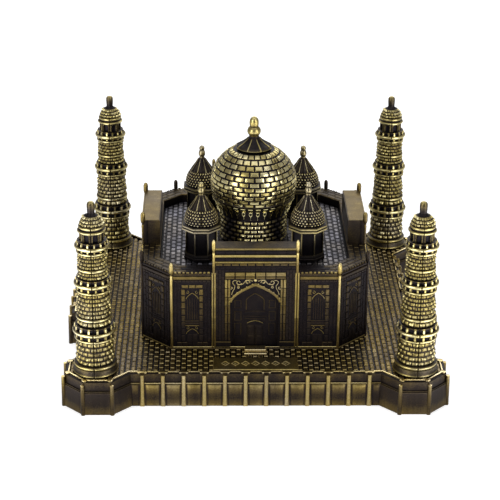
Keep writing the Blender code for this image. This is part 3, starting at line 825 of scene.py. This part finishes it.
def hall_outline(depth, notch=0.0):
    """The faceted plan moved inward by depth, with shallow notches behind the portals."""
    side = HALL - depth
    shoulder = (HALL_CHAMFER - depth) * sqrt(2) - side
    half = PORTAL_HALF - 0.3
    front = [(-shoulder, -side), (-half, -side), (-half, -side + notch),
             (half, -side + notch), (half, -side), (shoulder, -side)]
    return [tuple(Matrix.Rotation(turn, 2) @ Vector(point))
            for turn in QUARTER_TURNS for point in front]


def facet_outline(depth):
    """The eight corners of the plan, moved inward by depth."""
    return [point for k, point in enumerate(hall_outline(depth)) if k % 6 in (0, 5)]


def hall_core(casting):
    """Faceted wall ring with its top ledge around the sunken roof."""
    notch = NICHE_DEPTH + 0.4
    levels = ((HALL_FOOT - 0.1, 0.0, notch, 0.02), (HALL_TOP - 0.15, 0.0, notch, 0.1),
              (HALL_TOP, 0.15, notch, 0.3), (HALL_TOP, 0.4, notch, 0.0),
              (HALL_TOP, LEDGE_WIDTH - 0.4, 0.0, 0.0), (HALL_TOP, LEDGE_WIDTH - 0.15, 0.0, 0.5),
              (HALL_TOP - 0.15, LEDGE_WIDTH, 0.0, 0.3), (DECK_TOP - 0.6, LEDGE_WIDTH, 0.0, 0.0))
    rings = [[(x, y, z) for x, y in hall_outline(depth, cut)] for z, depth, cut, wear in levels]
    casting.loft(rings, [wear for z, depth, cut, wear in levels])


def ledge_paving(casting):
    """Bricks along the wall-top ledge, cut to its four sides and four corner facets."""
    outside, inside = facet_outline(0.35), facet_outline(LEDGE_WIDTH - 0.2)
    for k in range(8):
        turn = k * pi / 4
        after = (k + 1) % 8
        region = turned([outside[k], outside[after], inside[after], inside[k]], -turn)
        distance, half = (HALL_CHAMFER, 8.0) if k % 2 else (HALL, 26.0)
        face = casting.ground(HALL_TOP - 0.05, turn)
        for v0, v1, u0, u1 in bond(-distance, -distance + LEDGE_WIDTH, 1.6, -half, half, 3.0):
            piece = tidy_outline(clip(rect(u0 + 0.14, u1 - 0.14, v0 + 0.2, v1 - 0.2), region))
            # Painted shadow: the front ledge bricks around and between the front kiosks are dark, standing
            # for the kiosks' shadow.
            in_front_kiosk_shadow = k == 0 and abs(u0 + u1) < 40
            if piece:
                face.block(piece, -0.2, 0.16, 0.12,
                           (0.0, 0.12, 0.06) if in_front_kiosk_shadow else (0.0, 0.55, 0.36))


def arch_curve(half_width, spring, apex, steps=14):
    """A flat pointed arch, round at its haunches, from the right springing to the left."""
    points = []
    for k in range(2 * steps + 1):
        angle = pi * k / (2 * steps)
        share = abs(cos(angle))
        lift = 0.5 * sqrt(1 - share * share) + 0.5 * (1 - share)
        points.append((half_width * cos(angle), spring + (apex - spring) * lift))
    return points


def scroll(centre, radius, first, turns, shrink=0.35, steps=12):
    """A curl of (u, v) points that winds inward; angles in degrees."""
    points = []
    for k in range(steps + 1):
        share = k / steps
        angle = radians(first + 360 * turns * share)
        reach = radius * (1 - (1 - shrink) * share)
        points.append((centre[0] + reach * cos(angle), centre[1] + reach * sin(angle)))
    return points


def knob(u, v, radius, corners):
    """Outline of a small round boss."""
    return [(u + radius * cos(2 * pi * k / corners), v + radius * sin(2 * pi * k / corners))
            for k in range(corners)]


def spandrel_scrolls(face):
    """Curling stems on both sides of the arch's point, with a small boss between."""
    curls = (((4.8, 31.35), 0.85, 200, 0.95), ((2.3, 31.4), 0.72, 200, -0.95),
             ((7.0, 29.6), 0.6, 60, -0.9), ((5.0, 29.75), 0.42, 60, 0.9))
    outer_stem = ((6.9, 27.4), (6.6, 28.4), (6.1, 29.3), (5.95, 30.2), (6.5, 30.9), (6.6, 31.5),
                  (6.1, 31.95), (5.4, 31.9))
    inner_stem = ((4.2, 30.6), (3.5, 30.9), (3.1, 31.5), (2.7, 32.05), (1.6, 32.1), (0.8, 31.7))
    paths = [(scroll(*curl), 0.95) for curl in curls] + [(outer_stem, 0.9), (inner_stem, 0.9)]
    for side in (-1, 1):
        for path, wear in paths:
            face.cord([(side * u, v) for u, v in path], 0.11, 0.04, wear)
    face.block(knob(0, 31.9, 0.45, 8), -0.3, 0.3, 0.2, (0.3, 0.8, 0.95))


def portal_slab(casting, turn):
    """Upright slab that stands above the walls, with the pointed niche in its front."""
    back = casting.wall(HALL, turn)
    foot = HALL_FOOT - 0.05
    back.bar(-PORTAL_HALF, PORTAL_HALF, foot, PORTAL_TOP, -NICHE_DEPTH + 0.2, (0.35, 0.3, 0.1),
             chamfer=0.02, foot=-PORTAL_DEPTH)
    opening = [(NICHE_HALF, foot), *arch_curve(NICHE_HALF, NICHE_SPRING, NICHE_APEX),
               (-NICHE_HALF, foot)]
    front = [(-PORTAL_HALF, foot), *opening[::-1], (PORTAL_HALF, foot),
             (PORTAL_HALF, PORTAL_TOP), (-PORTAL_HALF, PORTAL_TOP)]
    back.block(front, -NICHE_DEPTH, 0.1, 0.08, (0.1, 0.3, 0.0))
    half = PORTAL_HALF - 0.25
    # Painted reflection: the side portals' tops are lighter than the front and back ones, standing for the
    # reflection of the side softboxes.
    lightness = 0.31 if turn in (0, pi) else 0.52
    casting.ground(PORTAL_TOP, turn).bar(-half, half, -HALL - 0.05, -HALL + PORTAL_DEPTH - 0.25,
                                         0.1, (0.2, lightness + 0.15, lightness),
                                         chamfer=0.08, foot=-0.5)


def portal_bands(face):
    """The stack of lines and block courses over the portal's frame."""
    wide = PORTAL_HALF - 0.6
    for low, high, out, wear in ((PORTAL_TOP - 0.5, PORTAL_TOP - 0.02, 0.4, 0.7),
                                 (39.3, 40.0, 0.5, 0.85), (37.4, 37.9, 0.42, 0.75)):
        face.bar(-wide, wide, low, high, out, (0.1, wear, wear - 0.1), chamfer=0.14, foot=-0.2)
    face.row(wide, 8, 40.3, 41.25, 0.26, (0.0, 0.24, 0.08))
    face.row(wide, 8, 38.1, 39.1, 0.26, (0.0, 0.24, 0.08))
    face.row(wide, 10, 36.6, 37.2, 0.26, (0.0, 0.6, 0.5), 0.2)
    face.row(wide, 16, 35.6, 36.4, 0.16, (0.0, 0.24, 0.12))
    face.row(8.9, 12, 34.7, 35.45, 0.16, (0.0, 0.24, 0.12))


def brick_columns(face, centres, low, high, course, wear):
    """Upright columns of dark bricks, each beside the next, with staggered joints."""
    for number, u in enumerate(centres):
        v = low - (course / 2 if number % 2 else 0)
        while v < high:
            bottom, top = max(v + 0.1, low), min(v + course - 0.1, high)
            if top - bottom > 0.4:
                face.bar(u - 0.39, u + 0.39, bottom, top, 0.18, wear, foot=-0.3)
            v += course


def portal_frame(face):
    """Gold blocks around the arch, the arch band itself, and the blocks at its feet."""
    face.row(FRAME_HALF, 6, 33.3, 34.45, 0.42, (0.0, 0.8, 0.62), 0.17)
    face.row(FRAME_HALF, 6, 32.45, 33.05, 0.36, (0.0, 0.62, 0.5), 0.17)
    pitch = 2.8
    for side in (-1, 1):
        for near, far in ((7.3, 7.85), (8.15, 8.8)):
            for k in range(7):
                low = 32.3 - (k + 1) * pitch
                face.bar(side * near, side * far, max(low + 0.12, BRICK_FOOT), low + pitch - 0.1,
                         0.42, (0.1, 0.82 - 0.06 * k, 0.7 - 0.06 * k), chamfer=0.12)
        near, far = side * 7.1, side * 11.5
        face.bar(near, far, 10.65, 12.1, 0.34, (0.1, 0.3, 0.12), chamfer=0.12)
        face.bar(near, far, 12.1, 12.35, 0.42, (0.1, 0.6, 0.45), chamfer=0.08)
        brick_columns(face, [side * (9.3 + 0.93 * k) for k in range(3)], BRICK_FOOT, 35.2, 1.9,
                      (0.0, 0.3, 0.2))
    outer = arch_curve(NICHE_HALF + 0.75, NICHE_SPRING - 0.1, NICHE_APEX + 0.95)
    inner = arch_curve(NICHE_HALF + 0.04, NICHE_SPRING - 0.1, NICHE_APEX + 0.05)
    face.block(outer + inner[::-1], -0.2, 0.5, 0.1, (0.2, 0.7, 0.6))
    for (u0, v0), (u1, v1) in zip(outer[::2], outer[2::2]):
        bump = knob((u0 + u1) / 2, (v0 + v1) / 2, 0.26, 6)
        face.block(bump, -0.1, 0.5, 0.12, (0.1, 0.85, 0.75))


def niche_relief(face):
    """Faint blind window, sills, side boxes and a pair of door leaves inside the niche."""
    dark = (0.0, 0.4, 0.16)
    window = [(2.6, 22.0), *arch_curve(2.6, 25.0, 27.2, 6), (-2.6, 22.0)]
    face.cord(window, 0.14, 0.05, 0.42)
    for low, high, half in ((21.2, 21.6, 3.0), (19.6, 20.0, 3.4), (18.9, 19.25, 3.0)):
        face.bar(-half, half, low, high, 0.28, dark)
    face.cord([(-2.3, 17.7), (-1.2, 18.25), (0, 18.5), (1.2, 18.25), (2.3, 17.7)], 0.1, 0.1, 0.8)
    for side in (-1, 1):
        for low, high in ((18.6, 21.4), (14.0, 17.6), (22.6, 25.0)):
            face.cord(rect(side * 4.1, side * 5.9, low, high), 0.12, 0.05, 0.38, True)
        face.bar(side * 0.15, side * 2.2, 10.7, 17.0, 0.22, dark)
        for low in (11.2, 14.2):
            face.bar(side * 0.5, side * 1.85, low, low + 2.4, 0.36, dark, foot=0.1)


def bay(face, centre, gold):
    """One blind bay: brick sides, a frame of blocks, window over door. gold scales the rub."""
    frame_half = 3.1
    foot, course = 12.4, 2.1
    for side in (-1, 1):
        columns = [centre + side * (frame_half + 0.75 + 1.05 * k) for k in range(2)]
        brick_columns(face, columns, foot, 31.2, course, (0.0, 0.24, 0.1))
        for near, far in ((1.5, 2.9), (3.15, 4.4)):
            face.bar(centre + side * near, centre + side * far, 10.7, 12.05, 0.26,
                     (0.0, 0.5 * gold, 0.2 * gold))
        for k in range(8):
            low = foot + course * k
            fade = gold * (0.16 + 0.36 * k / 7)
            face.bar(centre + side * 2.1, centre + side * frame_half, low + 0.2, low + 1.9, 0.34,
                     (0.0, fade + 0.14, fade), chamfer=0.14)
    for k in (-1, 0, 1):
        middle = centre + k * 2.07
        face.bar(middle - 0.92, middle + 0.92, 29.55, 30.4, 0.34,
                 (0.0, 0.68 * gold, 0.54 * gold), chamfer=0.14)
    for low, high, shade in ((18.1, 18.4, 0.3), (18.8, 19.1, 0.3), (17.3, 17.6, 0.5)):
        face.bar(centre - 2.0, centre + 2.0, low, high, 0.26,
                 (0.0, (shade + 0.1) * gold, shade * gold))
    window_and_door(face, centre, gold)


def window_and_door(face, centre, gold):
    """Grille under a pointed arch, curls in the spandrels, and two leaves in the doorway."""
    for k in range(-2, 3):
        u = centre + k * 0.68
        face.bar(u - 0.1, u + 0.1, 19.5, 26.4 - 0.3 * abs(k), 0.2, (0.0, 0.4, 0.3), chamfer=0.06)
    pale = 0.7 * (0.35 + 0.6 * gold)
    for spring, apex in ((26.0, 27.9), (14.8, 16.5)):
        arch = [(centre + u, v) for u, v in arch_curve(1.75, spring, apex, 6)]
        face.cord(arch, 0.1, 0.1, pale)
        for side in (-1, 1):
            curl = scroll((centre + side * 1.35, apex + 0.2), 0.48, 90, side * 0.9)
            face.cord(curl, 0.08, 0.08, pale)
    for side in (-1, 1):
        face.bar(centre + side * 0.12, centre + side * 1.4, 10.9, 14.6, 0.16, (0.0, 0.34, 0.14),
                 chamfer=0.06)


def wall_head(face, left, right, gold):
    """String line, frieze and the uneven row of small bumps along the wall's top edge."""
    face.bar(left, right, 32.2, 33.1, 0.42, (0.1, 0.66 * gold, 0.52 * gold), chamfer=0.16)
    face.bar(left, right, 33.4, HALL_TOP - 0.4, 0.26, (0.0, 0.42 * gold, 0.34 * gold),
             chamfer=0.12)
    count = max(1, round((right - left) / 1.15))
    size = (right - left) / count
    for k in range(count):
        u = left + (k + 0.5) * size
        half = RANDOM.uniform(0.26, 0.4)
        top = HALL_TOP + RANDOM.uniform(0.05, 0.22)
        face.bar(u - half, u + half, HALL_TOP - 0.3, top, 0.34, (0.0, 0.85 * gold, 0.6 * gold),
                 chamfer=0.16, foot=-0.35)
        face.bar(u - 0.42, u + 0.42, 31.4, 31.95, 0.2, (0.0, 0.4 * gold, 0.25), chamfer=0.08)


def engaged_column(casting, centre, foot, tip, swell, worn):
    """Slim column with a long blunt finial that is swell times as wide as the column."""
    r = COLUMN_RADIUS
    wide = r * swell
    rings = ((foot, r, 0.5), ((foot + tip) / 2, r, 0.7), (tip - 4.2, r * 0.95, 0.85),
             (tip - 3.6, r * 0.9, 0.4), (tip - 3.3, wide * 0.85, 0.7), (tip - 2.7, wide, 0.7),
             (tip - 1.0, wide, 0.8), (tip - 0.45, wide * 0.85, 0.9),
             (tip - 0.12, wide * 0.5, 1.0), (tip, r * 0.2, 1.0))
    casting.post(centre, [(z, radius, wear * worn) for z, radius, wear in rings])


def portal_edge(face, side):
    """Two thin upright strips with a dark line between, from the ground to the wall's top."""
    for near in (PORTAL_COLUMN_X - 0.58, PORTAL_COLUMN_X + 0.14):
        for low, high, wear in ((HALL_FOOT + 0.6, 20.0, 0.58), (20.0, HALL_TOP, 0.7)):
            face.bar(side * near, side * (near + 0.46), low, high, 0.42, (0.1, wear + 0.1, wear))


def hall_side(casting, number, turn):
    """A portal between two bays, with its columns and base line, and the facet after it."""
    on_side = number in SIDE_WALLS
    columns = ((BAY_COLUMN_X, HALL_FOOT - 0.1, BAY_COLUMN_TOP, 1.5, 0.35 if number else 1.0),
               (PORTAL_COLUMN_X, HALL_TOP - 0.2, HALL_HIGH.z, 1.7 if on_side else 1.3,
                0.7 if number else 1.0))
    wall = casting.wall(HALL, turn)
    facet = casting.wall(HALL_CHAMFER, turn + pi / 4)
    portal_slab(casting, turn)
    front = casting.wall(HALL + 0.1, turn)
    portal_bands(front)
    portal_frame(front)
    spandrel_scrolls(front)
    niche_relief(casting.wall(HALL - NICHE_DEPTH + 0.2, turn))
    for side in (-1, 1):
        bay(wall, side * BAY_CENTRE, 1.0)
        portal_edge(front, side)
        wall_head(wall, *sorted((side * WALL_HEAD_NEAR, side * WALL_HEAD_FAR)), 1.0)
        for x, foot, tip, swell, worn in columns:
            centre = Matrix.Rotation(turn, 3, "Z") @ Vector((side * x, -HALL - 0.1, 0))
            engaged_column(casting, centre, foot, tip, swell, worn)
    for low, high, out, wear in ((HALL_FOOT - 0.1, HALL_FOOT + 0.3, 0.55, 0.45),
                                 (HALL_FOOT + 0.4, HALL_FOOT + 0.65, 0.3, 0.9)):
        wall.bar(-BAY_COLUMN_X, BAY_COLUMN_X, low, high, out, (0.1, wear, wear - 0.1))
    bay(facet, 0.0, 0.62)
    wall_head(facet, -FACET_HALF + 0.3, FACET_HALF - 0.3, 0.55)
    facet.bar(-FACET_HALF, FACET_HALF, HALL_FOOT - 0.1, HALL_FOOT + 0.4, 0.4, (0.1, 0.7, 0.5), chamfer=0.12)


def hall_casting():
    """The faceted walls; each side brings the corner facet after it."""
    casting = Casting()
    hall_core(casting)
    ledge_paving(casting)
    for number, turn in enumerate(QUARTER_TURNS):
        hall_side(casting, number, turn)
    return casting


def deck_casting():
    """Sunken roof: a thin plate under staggered pavers."""
    casting = Casting()
    bed = casting.ground(DECK_TOP - 0.2)
    bed.block(facet_outline(LEDGE_WIDTH + 0.1), -0.35, 0.0, 0.02, (0.0, 0.1, 0.1))
    pave(bed, [facet_outline(LEDGE_WIDTH + 0.4)], HALL, (0.1, 0.52, 0.55), 0.15, 0.35)
    return casting


# ---------------------------------------------------------------- materials

class Nodes:
    """A short way to build a material's node tree."""

    def __init__(self, name):
        self.material = bpy.data.materials.new(name)
        self.material.use_nodes = True
        self.tree = self.material.node_tree
        self.shader = self.tree.nodes["Principled BSDF"]

    def feed(self, node, inputs):
        """Give a node its inputs: another node's output, or a plain value."""
        for name, value in inputs.items():
            if isinstance(value, bpy.types.NodeSocket):
                self.tree.links.new(value, node.inputs[name])
            else:
                node.inputs[name].default_value = value

    def add(self, kind, inputs, output=0, **settings):
        """Add a node and return one of its outputs."""
        node = self.tree.nodes.new(kind)
        for name, value in settings.items():
            setattr(node, name, value)
        self.feed(node, inputs)
        return node.outputs[output]

    def math(self, operation, first, second):
        return self.add("ShaderNodeMath", {0: first, 1: second}, operation=operation)

    def noise(self, scale, detail=3.0, stretch=(1, 1, 1)):
        position = self.add("ShaderNodeNewGeometry", {}, "Position")
        mapped = self.add("ShaderNodeMapping", {"Scale": stretch, "Vector": position})
        inputs = {"Scale": scale, "Detail": detail, "Vector": mapped}
        return self.add("ShaderNodeTexNoise", inputs, "Fac")

    def ramp(self, value, stops):
        colour = self.add("ShaderNodeValToRGB", {"Fac": value}, "Color")
        elements = colour.node.color_ramp.elements
        while len(elements) < len(stops):
            elements.new(0.5)
        for element, (position, tone) in zip(elements, stops):
            element.position = position
            element.color = (*tone, 1.0)
        return colour

    def mix(self, share, first, second):
        inputs = {0: share, 6: first, 7: second}
        return self.add("ShaderNodeMix", inputs, 2, data_type="RGBA", clamp_factor=True)

    def spread(self, value, low, high):
        """Map 0..1 to low..high."""
        return self.add("ShaderNodeMapRange", {"To Min": low, "To Max": high, "Value": value})

    def bump(self, height, strength, distance):
        inputs = {"Strength": strength, "Distance": distance, "Height": height}
        self.feed(self.shader, {"Normal": self.add("ShaderNodeBump", inputs)})


PATINA = (0.012, 0.010, 0.013)
UMBER = (0.038, 0.030, 0.024)
BRONZE = (0.155, 0.116, 0.04)
BRASS = (0.45, 0.365, 0.125)
RUBBED = (0.84, 0.74, 0.37)


def antique_bronze(name, lift=0.0, warmth=1.0, polish=0.0, streaks=(1, 1, 1), grey=0.0):
    """Dark patina in the recesses, rubbed through to brass on edges and raised faces."""
    nodes = Nodes(name)
    wear = nodes.add("ShaderNodeAttribute", {}, "Fac", attribute_name="wear")
    cloud = nodes.spread(nodes.noise(260, 3, streaks), -0.14, 0.14)
    grain = nodes.spread(nodes.noise(2600, 2), -0.12, 0.12)
    value = nodes.math("ADD", nodes.math("ADD", wear, cloud), nodes.math("ADD", grain, lift))
    tones = (PATINA, UMBER, BRONZE, BRASS, RUBBED)
    golden = [(r * warmth, g, b / warmth) for r, g, b in tones]
    ashen = [(g, g * 0.97, g * 1.12) for r, g, b in tones]
    shares = (0.05, 0.3, 0.55, 0.78, 1.0)
    patches = nodes.spread(nodes.noise(90, 2), grey - 0.5, grey + 0.5)
    colour = nodes.mix(patches, nodes.ramp(value, list(zip(shares, golden))),
                       nodes.ramp(value, list(zip(shares, ashen))))
    nodes.feed(nodes.shader, {"Base Color": colour, "Metallic": nodes.spread(value, 0.9, 1.0),
                              "Roughness": nodes.spread(value, 0.5 - polish, 0.3 - polish)})
    nodes.bump(nodes.noise(3200, 4), 0.35, 0.00006)
    return nodes.material


def felt():
    """Black felt of the pad underneath."""
    nodes = Nodes("pad_felt")
    fibres = nodes.noise(4200, 6, (1, 1, 3))
    colour = nodes.ramp(fibres, [(0.3, (0.006, 0.006, 0.007)), (0.7, (0.035, 0.035, 0.038))])
    nodes.feed(nodes.shader, {"Base Color": colour, "Roughness": 0.95, "Sheen Weight": 0.3})
    nodes.bump(fibres, 0.8, 0.0002)
    return nodes.material


def screw_steel():
    """Brushed steel of the screws."""
    nodes = Nodes("screw_steel")
    lines = nodes.noise(3000, 4, (1, 1, 8))
    colour = nodes.ramp(lines, [(0.3, (0.42, 0.42, 0.43)), (0.7, (0.62, 0.62, 0.62))])
    nodes.feed(nodes.shader, {"Base Color": colour, "Metallic": 1.0,
                              "Roughness": nodes.spread(lines, 0.28, 0.45)})
    nodes.bump(lines, 0.2, 0.00003)
    return nodes.material


def studio_floor():
    """Pale floor that stays near white to the camera and keeps a soft contact shadow."""
    nodes = Nodes("studio_floor")
    colour = nodes.ramp(nodes.noise(3, 2), [(0.0, (0.80, 0.80, 0.80)), (1.0, (0.84, 0.84, 0.84))])
    to_camera = nodes.add("ShaderNodeLightPath", {}, "Is Camera Ray")
    glow = nodes.math("MULTIPLY", to_camera, 0.55)
    nodes.feed(nodes.shader, {"Base Color": colour, "Roughness": 0.9,
                              "Emission Color": (1, 1, 1, 1), "Emission Strength": glow})
    return nodes.material


# ---------------------------------------------------------------- pieces

def show(name, mesh, material, node, location=(0, 0)):
    """Put a piece in the scene in the place of its CAD node."""
    piece = bpy.data.objects.new(name, mesh)
    bpy.context.scene.collection.objects.link(piece)
    piece.location = (location[0] * MM, location[1] * MM, 0)
    if not mesh.materials:
        mesh.materials.append(material)
    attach(piece, "root")
    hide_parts(node)


def build_castings():
    """The random draws follow this order, so it stays as it is."""
    plinth = antique_bronze("plinth_bronze", 0.045, 1.08, 0.05, (1.5, 1.5, 0.12), grey=0.1)
    show("plinth_cast", plinth_casting().mesh("plinth_cast"), plinth, "plinth")
    plaque = antique_bronze("plaque_bronze", warmth=1.05)
    show("plaque_cast", plaque_casting().mesh("plaque_cast"), plaque, "nameplate")
    hall = antique_bronze("hall_bronze", warmth=1.06)
    show("hall_cast", hall_casting().mesh("hall_cast"), hall, "hall_walls")
    deck = antique_bronze("deck_bronze", grey=0.85)
    show("roof_deck_cast", deck_casting().mesh("roof_deck_cast"), deck, "roof_deck")
    dome = antique_bronze("dome_brass", lift=0.03, polish=0.06)
    show("dome_cast", dome_casting().mesh("dome_cast"), dome, "main_dome")
    kiosk = antique_bronze("kiosk_bronze", lift=0.03, polish=0.05, grey=0.25)
    kiosk_mesh = kiosk_casting().mesh("kiosk_cast")
    minaret = antique_bronze("minaret_brass")
    minaret_mesh = minaret_casting().mesh("minaret_cast")
    for corner, (sx, sy) in CORNERS.items():
        show(f"kiosk_cast_{corner}", kiosk_mesh, kiosk, f"kiosk_{corner}",
             (sx * KIOSK, sy * KIOSK))
        show(f"minaret_cast_{corner}", minaret_mesh, minaret,
             f"minaret_{corner}", (sx * TOWER, sy * TOWER))


def finish_frame_nodes():
    """The felt pad and the screws keep their CAD shape and get their own finish."""
    pad, steel = felt(), screw_steel()
    for name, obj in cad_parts.items():
        if name == "base_pad" or "_screw_" in name:
            for slot in obj.material_slots:
                slot.material = pad if name == "base_pad" else steel


# ---------------------------------------------------------------- studio

def area_light(name, width, height, radiance):
    """A rectangle of light that the camera doesn't see."""
    light = bpy.data.lights.new(name, "AREA")
    light.shape = "RECTANGLE"
    light.size, light.size_y = width, height
    light.energy = radiance * pi * width * height
    lamp = bpy.data.objects.new(name, light)
    lamp.visible_camera = False
    bpy.context.scene.collection.objects.link(lamp)
    return lamp


def softbox(name, azimuth, elevation, distance, width, height, radiance):
    """Light aimed at the model; azimuth in degrees from the front, growing to the right."""
    lamp = area_light(name, width, height, radiance)
    a, e = radians(azimuth), radians(elevation)
    place = (distance * sin(a) * cos(e), -distance * cos(a) * cos(e), distance * sin(e))
    lamp.location = place
    aim = Vector((0, 0, 0.03)) - Vector(place)
    lamp.rotation_euler = aim.to_track_quat("-Z", "Y").to_euler()


def reflector(name, location, width, height, turn, radiance):
    """A pale card lying face up, which gives the upright surfaces above it a highlight."""
    card = area_light(name, width, height, radiance)
    card.location = location
    card.rotation_euler = (pi, 0, turn)


def studio_world():
    """White to the camera, a dim grey room to everything else."""
    world = bpy.data.worlds.new("studio")
    bpy.context.scene.world = world
    world.use_nodes = True
    tree = world.node_tree
    background = tree.nodes["Background"]
    path = tree.nodes.new("ShaderNodeLightPath")
    room = tree.nodes.new("ShaderNodeMix")
    room.data_type = "RGBA"
    room.inputs[6].default_value = (0.30, 0.30, 0.32, 1)
    room.inputs[7].default_value = (1, 1, 1, 1)
    tree.links.new(path.outputs["Is Camera Ray"], room.inputs[0])
    tree.links.new(room.outputs[2], background.inputs["Color"])


def build_floor():
    """A level floor under the model, wider than the view."""
    size = 3.0
    mesh = bpy.data.meshes.new("floor")
    mesh.from_pydata([(-size, -size, 0), (size, -size, 0), (size, size, 0), (-size, size, 0)],
                     [], [(0, 1, 2, 3)])
    mesh.materials.append(studio_floor())
    floor = bpy.data.objects.new("studio_floor", mesh)
    bpy.context.scene.collection.objects.link(floor)


def build_lights():
    """Tall boxes and floor cards on both sides, a small card on the roof, top and back light."""
    for name, azimuth, radiance in (("left", -46, 4.6), ("right", 46, 4.2)):
        softbox(f"softbox_{name}", azimuth, 20, 0.75, 0.3, 0.55, radiance)
        turn = radians(azimuth)
        reflector(f"floor_reflector_{name}", (0.34 * sin(turn), -0.34 * cos(turn), 0.001),
                  0.16, 0.5, turn, 2.8)
    reflector("roof_reflector", (0, -0.021, 0.0345), 0.02, 0.013, 0, 0.9)
    softbox("softbox_top", 0, 80, 0.75, 0.9, 0.6, 0.8)
    softbox("softbox_back", 175, 38, 0.8, 0.9, 0.35, 2.4)


def build_camera():
    """Long lens in front of the model, a little above it."""
    pitch, yaw, roll = radians(23.52), radians(1.34), radians(0.52)
    forward = Vector((sin(yaw) * cos(pitch), cos(yaw) * cos(pitch), -sin(pitch)))
    right = Vector((cos(yaw), -sin(yaw), 0))
    up = right.cross(forward)
    tilted_right = right * cos(roll) + up * sin(roll)
    tilted_up = up * cos(roll) - right * sin(roll)
    camera = bpy.data.cameras.new("camera")
    camera.lens = 121.2
    camera.sensor_width = 36.0
    camera.clip_start = 0.01
    obj = bpy.data.objects.new("camera", camera)
    rotation = Matrix((tilted_right, tilted_up, -forward)).transposed()
    obj.matrix_world = Matrix.Translation(Vector((-12.0, -474.6, 233.7)) * MM) @ rotation.to_4x4()
    bpy.context.scene.collection.objects.link(obj)
    bpy.context.scene.camera = obj
    bpy.context.scene.view_settings.view_transform = "Standard"


build_castings()
finish_frame_nodes()
build_floor()
studio_world()
build_lights()
build_camera()
